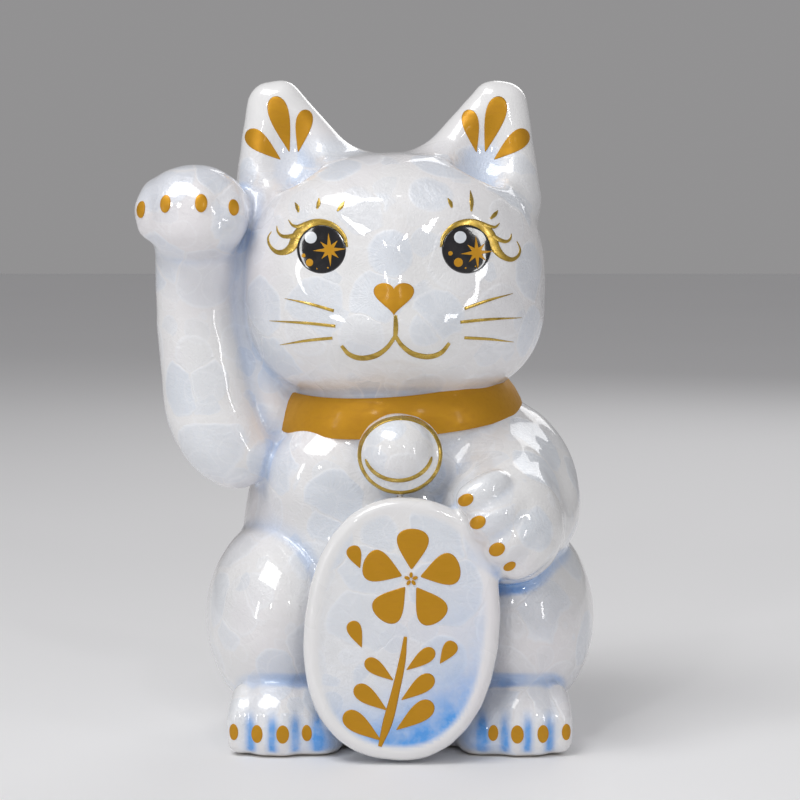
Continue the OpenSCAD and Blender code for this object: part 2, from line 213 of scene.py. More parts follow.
def curve_through(knots, counts):
    """Points on a smooth curve through the knots, with a count for each stretch."""
    ends = np.vstack([2 * knots[0] - knots[1], knots, 2 * knots[-1] - knots[-2]])
    line = []
    for i, count in enumerate(counts):
        a, b, c, d = ends[i:i + 4]
        for t in np.arange(count) / count:
            line.append(0.5 * (2 * b + (c - a) * t + (2 * a - 5 * b + 4 * c - d) * t ** 2
                               + (3 * b - a - 3 * c + d) * t ** 3))
    return np.array(line + [knots[-1]])


def roll(points, radii, pieces=14):
    """A rolled coil of clay through points, with a radius at each."""
    knots = np.column_stack([np.array(points, float), np.array(radii, float)])
    stretches = len(knots) - 1
    path = curve_through(knots, [pieces // stretches + 1] * stretches)

    def formula(x, y, z):
        best = None
        for p, q in zip(path[:-1], path[1:]):
            v = q[:3] - p[:3]
            px, py, pz = x - p[0], y - p[1], z - p[2]
            t = np.clip((px * v[0] + py * v[1] + pz * v[2]) / (v @ v), 0, 1)
            gap = np.sqrt((px - t * v[0]) ** 2 + (py - t * v[1]) ** 2 + (pz - t * v[2]) ** 2)
            gap = gap - (p[3] + t * (q[3] - p[3]))
            best = gap if best is None else np.minimum(best, gap)
        return best

    thick = path[:, 3].max()
    return Form(formula, path[:, :3].min(0) - thick, path[:, :3].max(0) + thick)


def drum(centre, radius, low, high):
    """An upright cylinder from height low to height high."""
    def formula(x, y, z):
        side = np.sqrt((x - centre[0]) ** 2 + (y - centre[1]) ** 2) - radius
        return np.maximum(side, np.maximum(low - z, z - high))

    reach = np.array([radius, radius])
    return Form(formula, [*(np.array(centre) - reach), low], [*(np.array(centre) + reach), high])


# %% [markdown]
# ### Sizes
#
# Most lumps are placed from a few anchors: the neck joint, the crown, the middle of the head
# and the middle of each paw. They come from the boxes of the CAD castings.

# %% Anchors
head_low, head_high = corners("head_shell")
body_high = corners("body_shell")[1]
neck_z = body_high[2]
crown_z = head_high[2]
head_x = (head_low[0] + head_high[0]) / 2
head_half = (head_high[0] - head_low[0]) / 2
head_deep = 34.0
head_mid = np.array([head_x, head_high[1] - head_deep, neck_z + 26])
crown_h = crown_z - head_mid[2]
chin_h = 31.0
HAUNCH = (21.5, 34, 28)
haunch_x = body_high[0] - HAUNCH[0]
SIDES = ((-1, "left"), (1, "right"))
eyes = {side: middle(f"{name}_eye_black") for side, name in SIDES}
nose = middle("nose_heart")
print("head", head_mid.round(1), "half", head_half.round(1), "neck", neck_z)

# %% [markdown]
# ### Head and ears
#
# The head is a squarish egg, wide at the cheeks and flat on top, with a muzzle that swells
# under the nose. A superellipse gives the square look that a plain ellipsoid lacks. Swells and
# sockets are then added as soft bumps in the depth direction, the way a thumb would push them.
# An ear is a flat outline with a thickness: the distance to the outline, less a radius, is a
# plate with round edges. It is thicker at its root than at its tip, and a shallow dish is
# carved out of its front.


# %% Head and ears
def bump(x, z, centre, width, height):
    """A soft hill over the face, 1 at its centre."""
    return np.exp(-((x - centre[0]) / width) ** 2 - ((z - centre[1]) / height) ** 2)


def face_relief(x, z):
    """How far the face stands forward of the plain head."""
    relief = 3.6 * bump(x, z, (nose[0] + 0.4, nose[2] - 9), 17, 11)
    relief = relief + 1.3 * bump(x, z, (nose[0], nose[2] + 1), 5.5, 5.5)
    relief = relief + 1.2 * bump(x, z, (nose[0], nose[2] + 11), 5, 9)
    for side in (-1, 1):
        relief = relief + 1.5 * bump(x, z, (nose[0] + side * 8.5, nose[2] - 8.5), 8, 6.5)
        relief = relief - 0.9 * bump(x, z, (eyes[side][0], eyes[side][2] - 0.5), 10, 8.5)
        relief = relief + 0.9 * bump(x, z, (eyes[side][0] - side, eyes[side][2] + 12.5), 11, 5)
    return relief


def head_form():
    """The superellipse of the head, with the face's relief on its front."""
    power, plan = 2.6, 2.3

    def formula(x, y, z):
        px, pz = x - head_mid[0], z - head_mid[2]
        py = y - head_mid[1]
        py = py + face_relief(x, z) * np.clip(-py / 20, 0, 1)
        high = np.where(pz > 0, crown_h, chin_h)
        flat = (np.abs(px / head_half) ** plan + np.abs(py / head_deep) ** plan) ** (power / plan)
        f = (flat + np.abs(pz / high) ** power) ** (1 / power)
        length = np.sqrt(px ** 2 + py ** 2 + pz ** 2)
        return length * (1 - 1 / np.maximum(f, 1e-3)) * 0.92

    reach = np.array([head_half, head_deep + 7, crown_h])
    return Form(formula, head_mid - reach, head_mid + reach)


def ear_box(side):
    """The ear's outer side, its middle from front to back, and its tip."""
    low, high = corners("left_ear" if side < 0 else "right_ear")
    outer = low[0] if side < 0 else high[0]
    return outer, (low[1] + high[1]) / 2, high[2]


def ear_form(side, thick=6.6):
    """A plate with the outline of an ear, and round edges."""
    outer, ear_y, top = ear_box(side)
    loop = [np.array([outer - side * across, z]) for across, z in
            ((8.4, top - thick - 0.4), (5.2, crown_z - 12), (31.5, crown_z - 10), (11.0, top - thick))]

    def formula(x, y, z):
        away, inside = None, None
        for k in range(4):
            a, b = loop[k], loop[(k + 1) % 4]
            edge = b - a
            t = np.clip(((x - a[0]) * edge[0] + (z - a[1]) * edge[1]) / (edge @ edge), 0, 1)
            gap = np.sqrt((x - a[0] - t * edge[0]) ** 2 + (z - a[1] - t * edge[1]) ** 2)
            turn = side * ((x - a[0]) * edge[1] - (z - a[1]) * edge[0])
            away = gap if away is None else np.minimum(away, gap)
            inside = turn if inside is None else np.minimum(inside, turn)
        flat = np.where(inside > 0, 0, away)
        back = (y - ear_y) - 0.06 * (z - crown_z)
        back = back * (0.72 + 0.55 * np.clip((z - crown_z + 6) / (top - crown_z), 0, 1))
        return np.sqrt(flat ** 2 + back ** 2) - np.clip(thick + 0.02 * (top - thick - z), thick, thick + 0.6)

    reach = thick + 3
    return Form(formula, [min(p[0] for p in loop) - reach, ear_y - 1.4 * reach, crown_z - 12],
                [max(p[0] for p in loop) + reach, ear_y + 1.4 * reach, top + 1])


def ear_dish(side):
    """The hollow in the front of an ear."""
    outer, ear_y, top = ear_box(side)
    return egg([outer - side * 14, ear_y - 15.6, crown_z + 5], [10.4, 11.0, 15.5])


# %% [markdown]
# ### Limbs
#
# Arms and tail are rolled coils. A paw is a ball with four short coils for its toes, pressed on
# with a small fillet, so that a groove is left between each pair for the blue glaze to fill.
# The raised arm is a club that stands forward of the shoulder, so it keeps a crisp lower edge,
# and a coil behind it closes the gap between the arm and the head. The other arm is two coils:
# one comes down from the shoulder over the chest, and one runs round the side to the paw.


# %% Limbs
def raised_arm_forms():
    """The coil that closes the gap to the head, and the club of the arm itself."""
    low = corners("raised_arm")[0]
    x, z = low[0], low[2]
    club = roll([[x + 22.0, -13, z + 12.5], [x + 18.6, -12, z + 16.5], [x + 15.4, -10, z + 24],
                 [x + 13.4, -9.5, z + 35], [x + 11.6, -9.5, z + 47], [x + 11.2, -9, z + 59],
                 [x + 11.6, -10, z + 68]],
                [10.0, 11.6, 12.6, 11.9, 11.1, 11.1, 11.4])
    web = roll([[x + 31, -2, z + 22], [x + 29, -1, z + 32], [x + 25, -1, z + 44],
                [x + 20, -3, z + 60], [x + 17, -5, z + 70]], [12.5, 12.5, 11, 9, 8])
    return [web, club]


def raised_paw_forms():
    """The ball of the paw, the heel under it, and four toes."""
    low, high = corners("raised_paw")
    x, z = (low[0] + high[0]) / 2, high[2]
    forms = [egg([x, -14.5, z - 12.0], [14.9, 13.5, 12.2]), egg([x + 1, -19.5, z - 17.5], [12.0, 10, 7.0])]
    for dx, y, dz in ((-11.4, -19.0, -12.0), (-5.6, -23.6, -11.4), (2.6, -24.6, -11.2), (9.9, -21.8, -12.0)):
        forms.append(roll([[x + dx * 0.9, y + 5.5, z + dz + 4.5], [x + dx, y + 0.4, z + dz + 0.4],
                           [x + dx, y + 0.8, z + dz - 4.2]], [3.8, 4.3, 3.8], 6))
    return forms


def coin_arm_forms():
    """The upper arm over the chest, and the forearm round the side."""
    x, z = corners("coin_arm")[1][[0, 2]]
    upper = roll([[x - 18, -4, z - 8], [x - 20, -18, z - 12], [x - 21.5, -26, z - 14.5],
                  [x - 23, -32, z - 20]], [11, 11.5, 11.5, 12])
    fore = roll([[x - 16, 3, z - 8.0], [x - 12.2, -1, z - 13.5], [x - 11.8, -10, z - 20],
                 [x - 14.5, -19, z - 24.5], [x - 20, -30, z - 24.5]], [9.5, 11.0, 12.2, 13.0, 13.2])
    return [upper, fore]


def coin_paw_forms():
    """The mitten of the paw, and four toes across its end."""
    x, y, z = middle("coin_paw")
    forms = [egg([x + 4.6, y + 4.1, z + 1.0], [13.4, 11.6, 14.6], turn=37)]
    for dx, dy, dz in ((-4.4, -5.0, 9.6), (-1.0, -6.5, 3.6), (3.4, -6.0, -3.0), (7.2, -3.0, -7.8)):
        tip = np.array([x + dx, y + dy, z + dz])
        forms.append(roll([tip + [6.4, 2.4, 4.0], tip + [3.2, 0.6, 2.0], tip], [3.7, 4.5, 4.3], 6))
    return forms


# %% Feet and tail
TOE_GAP, TOE_SHIFT = 5.9, 1.2


def foot_forms(side):
    """The foot, its flat sole, the part that runs in behind the coin, and four toes."""
    low, high = corners("left_foot" if side < 0 else "right_foot")
    x = (low[0] + high[0]) / 2
    front = low[1]
    forms = [egg([x, front + 17.5, 8.4], [12.8, 16, 12.2]), egg([x, front + 13, 4.6], [12.4, 11.5, 7]),
             egg([x - side * 11, front + 13, 4.6], [7, 10.5, 6.8])]
    for k in range(4):
        u = k - 1.5
        tip = np.array([x + side * TOE_SHIFT + u * TOE_GAP, front + 5.2 + 0.9 * u * u, 3.9])
        forms.append(roll([tip + [-u * 0.2, 0.0, 0], tip + [-u * 0.3, 0.6, 6],
                           tip + [-u * 0.6, 5, 10.8]], [3.7, 3.9, 3.5], 6))
    return forms


def tail_form():
    """A short coil laid round the back of the base."""
    x, y = corners("tail")[0][0], corners("tail")[1][1]
    return roll([[x + 6, y - 9, 15.5], [x + 16, y - 7, 12.5], [x + 27, y - 8, 13.5],
                 [x + 36, y - 12.5, 18.5], [x + 41, y - 17, 27]], [6.4, 7.2, 7.0, 6.5, 5.0])


# %% [markdown]
# ### Coin and bell
#
# The coin is an oval plate with a raised, rounded rim. It leans back a little and turns a few
# degrees, so its formula first brings each point into the coin's own upright frame. Its outline
# is a superellipse too, because the real plate is fuller at its shoulders than an ellipse. A
# thick egg behind it joins it to the belly, so no gap shows from the side. The bell is a low
# egg with a coil for its rim, so the gold ring has a round edge to lie on, and a dome in front.

# %% The coin
COIN_TURN, COIN_LEAN = math.radians(6.0), math.radians(-6.0)
coin_low = corners("coin")[0]
COIN_HALF = np.array([25.6, 34.6])
coin_mid = np.array([0.5, coin_low[1] + 6.8, coin_low[2] + COIN_HALF[1]])
COIN_THICK = 3.1
COIN_POWER = 2.3


def coin_frame(x, y, z):
    """Across, out of the front, and up, in the coin's own frame."""
    px, py, pz = x - coin_mid[0], y - coin_mid[1], z - coin_mid[2]
    py, pz = (math.cos(COIN_LEAN) * py + math.sin(COIN_LEAN) * pz,
              math.cos(COIN_LEAN) * pz - math.sin(COIN_LEAN) * py)
    px, pz = (math.cos(COIN_TURN) * px - math.sin(COIN_TURN) * pz,
              math.cos(COIN_TURN) * pz + math.sin(COIN_TURN) * px)
    return px, -py, pz


def coin_edge(across, up):
    """Distance outside the coin's outline, below 0 inside it."""
    a, b = COIN_HALF
    u, v = np.abs(across / a), np.abs(up / b)
    ring = np.maximum((u ** COIN_POWER + v ** COIN_POWER) ** (1 / COIN_POWER), 1e-3)
    slope = ring ** (1 - COIN_POWER) * np.sqrt((u ** (COIN_POWER - 1) / a) ** 2
                                              + (v ** (COIN_POWER - 1) / b) ** 2)
    return (ring - 1) / np.maximum(slope, 1 / b)


def coin_form():
    """A plate with a rounded edge and a raised rim."""
    def formula(x, y, z):
        across, out, up = coin_frame(x, y, z)
        edge = coin_edge(across, up)
        rim = 0.75 * np.exp(-((edge + 2.3) / 1.7) ** 2)
        bevel = 2.5
        side, face = edge + bevel, np.abs(out) - (COIN_THICK - 0.5 + rim) + bevel
        corner = np.sqrt(np.maximum(side, 0) ** 2 + np.maximum(face, 0) ** 2)
        return corner + np.minimum(np.maximum(side, face), 0) - bevel

    return Form(formula, coin_mid - [28, 9, 37], coin_mid + [28, 9, 37])


# %% The bell
bell_mid = middle("bell_ring")
bell_half = (corners("bell_ring")[1] - corners("bell_ring")[0])[0] / 2
dome_mid = bell_mid + [-0.8, 0.6, 1.5]
dome_half = bell_half * 0.83
BELL_UP = 0.3


def bell_forms():
    """The back of the bell, the rolled rim round it, and the dome in front."""
    nod, rim = 0.32, 1.7
    wide, tall = bell_half - rim, 0.92 * bell_half - rim
    loop = []
    for a in np.radians(np.linspace(0, 360, 17)):
        rise = tall * math.sin(a)
        loop.append(bell_mid + [wide * math.cos(a), 0.5 + nod * rise, BELL_UP + rise])
    return [egg(bell_mid + [0, 1.4, BELL_UP], [wide, 6.4, tall], nod=nod),
            roll(loop, [rim] * len(loop)),
            egg(dome_mid, [dome_half, 9.0, dome_half * 0.96], nod=0.15)]


# %% [markdown]
# ### Pressing
#
# The order matters as it does at the bench. The torso comes first, and then the arm that holds
# the coin, with a fillet so wide that it runs into the chest without a crease. The haunches,
# the head, the raised arm, the coin and the feet come after it with small fillets, and leave
# the crisp creases that the blue glaze fills. The neck is kept aside before the head goes on,
# because the collar is laid round it later.

# %% The waviness of melted glaze
def molten_waves(block, tall):
    """The glaze's own slight waviness: a few crossing waves, 6 to 13 mm long."""
    rng = np.random.default_rng(7)
    x, y, z = np.meshgrid(*block.axes, indexing="ij", sparse=True)
    total = 0
    for length in (13, 11, 9.5, 8, 7, 6.2):
        way = rng.normal(size=3)
        way *= 2 * np.pi / (length * np.linalg.norm(way))
        total = total + np.sin(way[0] * x + way[1] * y + way[2] * z + rng.uniform(0, 6.28))
    return (tall * total).astype(np.float32)


# %% Press the torso and the arm that holds the coin
def press_all(owner, forms, fillets):
    """Presses several lumps on in turn, each with its own fillet."""
    for form, fillet in zip(forms, fillets):
        clay.press(owner, form, fillet)


STEP = 0.9
clay = Clay([-77, -60, -3], [62, 56, 184], STEP)
clay.press("body_shell", egg([-0.5, 3, 52], [43.5, 37, 52]))
clay.press("body_shell", egg([0, 1, 12], [43.5, 39, 26]), 6)
clay.press("body_shell", egg([0, -5, 40], [34, 34, 38]), 4)
clay.press("body_shell", egg([0, -1, neck_z - 10], [32.5, 29, 22]), 6)
neck_points, neck_quads, neck_normals = clay.skin()
clay.press("body_shell", egg([-17, -17, 70], [19, 14.5, 17], turn=-20), 3)
clay.press("body_shell", egg([16, -16, 70], [18, 14, 17], turn=20), 3)
press_all("coin_arm", coin_arm_forms(), (8, 8))
press_all("coin_paw", coin_paw_forms(), (8, 1.8, 1.8, 1.8, 1.8))
print("pressed so far:", sorted({owner for owner, _ in clay.forms}))

# %% Press the haunches, the head and the raised arm
for side in (-1, 1):
    clay.press("body_shell", egg([side * haunch_x, -6, 32], HAUNCH), 1.0)
clay.press("head_shell", head_form(), 2.0)
for side, name in SIDES:
    clay.press(f"{name}_ear", ear_form(side), 6)
    clay.carve(ear_dish(side), 2.0)
press_all("raised_arm", raised_arm_forms(), (2.6, 2.8))
press_all("raised_paw", raised_paw_forms(), (4, 4, 1.6, 1.6, 1.6, 1.6))
clay.press("tail", tail_form(), 3)
coin_back = egg([coin_mid[0], -36, coin_mid[2] - 3], [19, 11, 29])
clay.press("coin", coin_back, 0.7)
clay.press("coin", coin_form(), 0.7)
for side, name in SIDES:
    press_all(f"{name}_foot", foot_forms(side), (1.8, 3, 3, 1.4, 1.4, 1.4, 1.4))
press_all("bell", bell_forms(), (1.0, 0.8, 0.6))
print("pressed in all:", len(clay.forms), "lumps")

# %% [markdown]
# ### Foot ring and pocket
#
# The cat stands on a ring that was sponged flat, so the clay is cut off at the table's height.
# The body is open underneath, and a round pocket is carved for the disc that closes it.

# %% Cut the foot flat and take the skin
WAVE_TALL = 0.03
clay.d = blur(clay.d, 1) + molten_waves(clay, WAVE_TALL)
height = clay.axes[2][None, None, :].astype(np.float32)
clay.d = -smooth_min(-clay.d, height, 1.2)
disc_low, disc_high = corners("floor_disc")
disc_r = (disc_high[0] - disc_low[0]) / 2
clay.carve(drum((0, 0), disc_r, -3, disc_high[2]), 0.6)
steps, quads, normals = clay.skin()
points = clay.low + steps * clay.step
print("skin:", len(points), "points,", len(quads), "quads")

# %% [markdown]
# ### Cutting the skin into castings
#
# The skin is one surface, but the cat is an assembly of castings. Each quad is given to the
# casting whose lump is nearest, which puts every seam in the crease where the potter luted it.
# Stray quads are then voted into line with their neighbours, so each casting's edge is one
# clean loop. The pocket's ceiling is left out: the body is hollow and open there.


# %% Who owns each quad
castings = list(dict.fromkeys(owner for owner, _ in clay.forms))
OPEN = len(castings)


def owner_gaps(places):
    """Distance from each place to each casting's own lumps."""
    gaps = np.full((len(places), len(castings)), FAR)
    for owner, form in clay.forms:
        near = np.all((places > form.low - 6) & (places < form.high + 6), axis=1)
        column = castings.index(owner)
        gaps[near, column] = np.minimum(gaps[near, column], form(*places[near].T))
    return gaps


def edge_table(faces):
    """Each edge once: its two ends, and the two faces beside it."""
    a, b = faces.reshape(-1), np.roll(faces, -1, axis=1).reshape(-1)
    low, high = np.minimum(a, b), np.maximum(a, b)
    order = np.lexsort((high, low))
    face = np.repeat(np.arange(len(faces)), 4)[order]
    return np.stack([low[order], high[order]], axis=1)[::2], face.reshape(-1, 2)


# %% Put stray quads in line
def vote(label, beside, rounds):
    """Each quad takes the owner that most of its neighbours have."""
    for _ in range(rounds):
        votes = np.zeros((len(label), OPEN + 1))
        votes[np.arange(len(label)), label] = 1.5
        for near, far in ((0, 1), (1, 0)):
            np.add.at(votes, (beside[:, near], label[beside[:, far]]), 1)
        label = np.where(label == OPEN, OPEN, votes[:, :OPEN].argmax(axis=1))
    return label


def join_islands(label, beside, share=0.2):
    """Small patches cut off from their casting go to the casting round them."""
    same = label[beside[:, 0]] == label[beside[:, 1]]
    patch = np.arange(len(label))
    while True:
        lowest = np.minimum(patch[beside[same, 0]], patch[beside[same, 1]])
        joined = patch.copy()
        for k in (0, 1):
            np.minimum.at(joined, beside[same, k], lowest)
        joined = joined[joined]
        if (joined == patch).all():
            break
        patch = joined
    size = np.bincount(patch, minlength=len(label))
    small = size[patch] < share * np.bincount(label, minlength=OPEN + 1)[label]
    for near, far in ((0, 1), (1, 0)):
        edge = small[beside[:, near]] & ~small[beside[:, far]]
        taker = np.full(len(label), -1)
        taker[patch[beside[edge, near]]] = label[beside[edge, far]]
        moved = small & (taker[patch] >= 0)
        label = np.where(moved, taker[patch], label)
    return label


def untie(label, ends, beside):
    """Where a casting would meet itself at a single point, that point's quads all join it."""
    for _ in range(30):
        cut = label[beside[:, 0]] != label[beside[:, 1]]
        count = np.zeros((len(points), OPEN + 1), int)
        for k in (0, 1):
            for end in (0, 1):
                np.add.at(count, (ends[cut, end], label[beside[cut, k]]), 1)
        place, owner = np.nonzero(count > 2)
        if not len(place):
            break
        taker = np.full(len(points), -1)
        taker[place] = owner
        taken = taker[quads].max(axis=1)
        label = np.where(taken >= 0, taken, label)
    return label


# %% Hand out the quads
CEILING_SLACK = 1.2
centres = points[quads].mean(axis=1)
owner = owner_gaps(centres).argmin(axis=1)
ceiling = ((np.hypot(centres[:, 0], centres[:, 1]) < disc_r - 1.4)
           & (np.abs(centres[:, 2] - disc_high[2]) < CEILING_SLACK))
owner[ceiling] = OPEN
ends, beside = edge_table(quads)
owner = vote(owner, beside, 4)
for _ in range(2):
    owner = untie(join_islands(owner, beside), ends, beside)
print({name: int((owner == k).sum()) for k, name in enumerate(castings)})

# %% [markdown]
# ### Where the glaze runs
#
# A crystalline glaze is thin on ridges and pools in creases, where its cobalt turns it blue.
# So the skin carries masks of its own: pool for the pale blue in every hollow, cobalt for the
# strong blue that the painter added low on the coin, between the toes and under the paw, bare
# for the foot ring, which is wiped clean before firing, and plain for the ear tips and the
# coin's rim, where no crystals grow. Pool is worked out from the curvature of the clay, so it
# follows the shape wherever it is changed. The painter's stripes and washes lie on top of it.


# %% Helpers for masks
def ramp(value, start, stop):
    """0 below start, 1 above stop, and smooth between."""
    t = np.clip((value - start) / (stop - start), 0, 1)
    return t * t * (3 - 2 * t)


def glow(centre, radii):
    """A soft round patch of influence, 1 at its centre."""
    away = (points - np.array(centre)) / np.array(radii)
    return np.exp(-(away ** 2).sum(axis=1))


# %% Stripes, washes and creases
fine = ramp(clay.sample(clay.hollows(1), steps), 0.06, 0.40)
broad = ramp(clay.sample(clay.hollows(9), steps), 0.015, 0.13)
x, y, z = points.T
across, out, up = coin_frame(x, y, z)
on_coin = (out > 1.0) & (coin_edge(across, up) < 1)
in_dish = ramp(-coin_edge(across, up), 3.2, 5.0) * on_coin
low_coin = 1.15 * ramp(-up + 0.35 * across, 6, 38) ** 1.4
low_coin = low_coin + 0.22 * ramp(across - 0.2 * up, 4, 22) * ramp(-up, -20, 6)
paw = middle("coin_paw")
foot_x = {side: middle(f"{name}_foot")[0] for side, name in SIDES}
stripes = 0
for side in (-1, 1):
    for k in (-2, -1, 0, 1):
        groove = (x - foot_x[side] - side * (TOE_SHIFT + TOE_GAP * k)) / 1.2
        stripes = stripes + (np.exp(-groove ** 2) * ramp(-y, 30, 38) * ramp(-z, -14, -7)
                             * ramp(z, 1.0, 2.4))
    stripes = stripes + 0.6 * glow((side * 20, -44, 4.5), (4.5, 10, 5)) * ramp(z, 1.0, 2.4)
cobalt = in_dish * low_coin + 1.2 * stripes * ~on_coin
right_foot_wash = glow((foot_x[1] + 10, -26, 19), (6, 14, 5)) + glow((26, -46, 8), (6, 12, 12))
cobalt = cobalt + 0.6 * broad * right_foot_wash
cobalt = cobalt + 0.8 * broad * glow((-25, -46, 6), (6, 12, 12))
paw_wash = glow(paw + [8, 6, -13], (16, 18, 9)) + glow((28, -38, 28), (6, 16, 26))
cobalt = cobalt + 0.55 * broad * paw_wash
cobalt = cobalt + 0.3 * broad * glow((-28, -38, 24), (8, 16, 26))
creases = np.clip(0.32 * broad + 0.34 * fine, 0, 0.6) * ~on_coin
masks = {"pool": creases + 0.16 * in_dish * ramp(-up, -30, 10),
         "cobalt": np.clip(cobalt, 0, 1),
         "bare": ramp(-z, -0.9, -0.35),
         "plain": np.clip(ramp(z, crown_z + 1, crown_z + 7) + on_coin * (1 - in_dish), 0, 1)}
print({name: round(float(value.mean()), 3) for name, value in masks.items()})

# %% [markdown]
# ### Walls
#
# A casting is a shell, so each cut patch gets a wall: a second skin is set inward, turned to
# face the hollow, and joined to the first all round its edge. The outer skin's normals come
# from the field itself, which keeps reflections unbroken across the seams.


# %% Shells
WALL = 2.4


def add_mask(mesh, name, values):
    """One number for each point."""
    mesh.attributes.new(name, "FLOAT", "POINT").data.foreach_set("value", values.astype(np.float32))


def add_vectors(mesh, name, values):
    """One vector for each point."""
    store = mesh.attributes.new(name, "FLOAT_VECTOR", "POINT")
    store.data.foreach_set("vector", values.astype(np.float32).reshape(-1))


def shell(name, chosen):
    """A closed casting from the chosen quads of the skin."""
    used, local = np.unique(quads[chosen], return_inverse=True)
    local = local.reshape(-1, 4)
    count = len(used)
    a, b = local.reshape(-1), np.roll(local, -1, axis=1).reshape(-1)
    inward = normals[used].copy()
    for _ in range(4):
        near = inward.copy()
        np.add.at(near, a, inward[b])
        inward = near / np.linalg.norm(near, axis=1, keepdims=True)
    inner = points[used] - inward * WALL
    edge = ~np.isin(a * count + b, b * count + a)
    rim = np.stack([b[edge], a[edge], a[edge] + count, b[edge] + count], axis=1)
    mesh = bpy.data.meshes.new(name)
    places = np.vstack([points[used], inner])
    faces = np.vstack([local, local[:, ::-1] + count, rim])
    mesh.from_pydata((places * MM).tolist(), [], faces.tolist())
    mesh.shade_smooth()
    sides = np.cross(places[rim[:, 1]] - places[rim[:, 0]], places[rim[:, 2]] - places[rim[:, 1]])
    sides /= np.maximum(np.linalg.norm(sides, axis=1, keepdims=True), 1e-9)
    loop_normals = np.vstack([normals[used][local.reshape(-1)], -inward[local[:, ::-1].reshape(-1)],
                              np.repeat(sides, 4, axis=0)])
    mesh.normals_split_custom_set(loop_normals.tolist())
    for mask, values in masks.items():
        add_mask(mesh, mask, np.tile(values[used], 2))
    return link(bpy.data.objects.new(name, mesh))


cast = {name: shell(name + "_casting", owner == k) for k, name in enumerate(castings)}
print({name: 2 * len(piece.data.polygons) for name, piece in cast.items()}, "triangles")

# %% [markdown]
# ## Finishes
#
# The looks come from a few node groups that materials share. The first grows crystals: as the
# kiln cools, zinc crystals spread from seeds until they meet, which is just what a Voronoi
# pattern does. Each has its own tint, a radius past which it stops, a pale rim, and fine rays
# out of its seed. The second is the slight ripple of a surface that was once molten. The third
# is the streak that a brush leaves in gold.


# %% Helpers for shader nodes
class Nodes:
    """Short ways to add nodes to a shader tree."""

    def __init__(self, tree):
        self.tree = tree

    def node(self, kind, settings=(), **inputs):
        node = self.tree.nodes.new(kind)
        for name, value in dict(settings).items():
            setattr(node, name, value)
        for name, value in inputs.items():
            self.put(value, node.inputs[name.replace("_", " ")])
        return node

    def put(self, value, target):
        if isinstance(value, bpy.types.NodeSocket):
            self.tree.links.new(value, target)
        else:
            target.default_value = value

    def math(self, operation, *values, clamp=False):
        node = self.tree.nodes.new("ShaderNodeMath")
        node.operation, node.use_clamp = operation, clamp
        for value, target in zip(values, node.inputs):
            self.put(value, target)
        return node.outputs[0]

    def vector(self, operation, *values):
        node = self.tree.nodes.new("ShaderNodeVectorMath")
        node.operation = operation
        for value, target in zip(values, node.inputs):
            self.put(value, target)
        return node.outputs[0]

    def ramp(self, value, low, high, to_low=0.0, to_high=1.0):
        node = self.node("ShaderNodeMapRange", {"interpolation_type": "SMOOTHSTEP"})
        for target, amount in zip(node.inputs, (value, low, high, to_low, to_high)):
            self.put(amount, target)
        return node.outputs[0]

    def mix(self, share, a, b):
        node = self.node("ShaderNodeMix", {"data_type": "RGBA"})
        self.put(share, node.inputs[0])
        self.put(a, node.inputs[6])
        self.put(b, node.inputs[7])
        return node.outputs[2]

    def noise(self, vector, scale, detail=2.0, roughness=0.5):
        node = self.node("ShaderNodeTexNoise", Vector=vector, Scale=scale, Detail=detail, Roughness=roughness)
        return node.outputs["Factor" if "Factor" in node.outputs else "Fac"]

    def emboss(self, shader, height, strength, distance):
        bump_node = self.node("ShaderNodeBump", Strength=strength, Distance=distance, Height=height)
        self.put(bump_node.outputs[0], shader.inputs["Normal"])


# %% A group with its inputs and outputs
def shader_group(name, inputs, outputs):
    """A node group whose inputs are [label, kind, value] and outputs are [label, kind]."""
    tree = bpy.data.node_groups.new(name, "ShaderNodeTree")
    for label, kind, value in inputs:
        made = tree.interface.new_socket(label, in_out="INPUT", socket_type="NodeSocket" + kind)
        if value is not None:
            made.default_value = value
    for label, kind in outputs:
        tree.interface.new_socket(label, in_out="OUTPUT", socket_type="NodeSocket" + kind)
    return Nodes(tree), tree.nodes.new("NodeGroupInput"), tree.nodes.new("NodeGroupOutput")


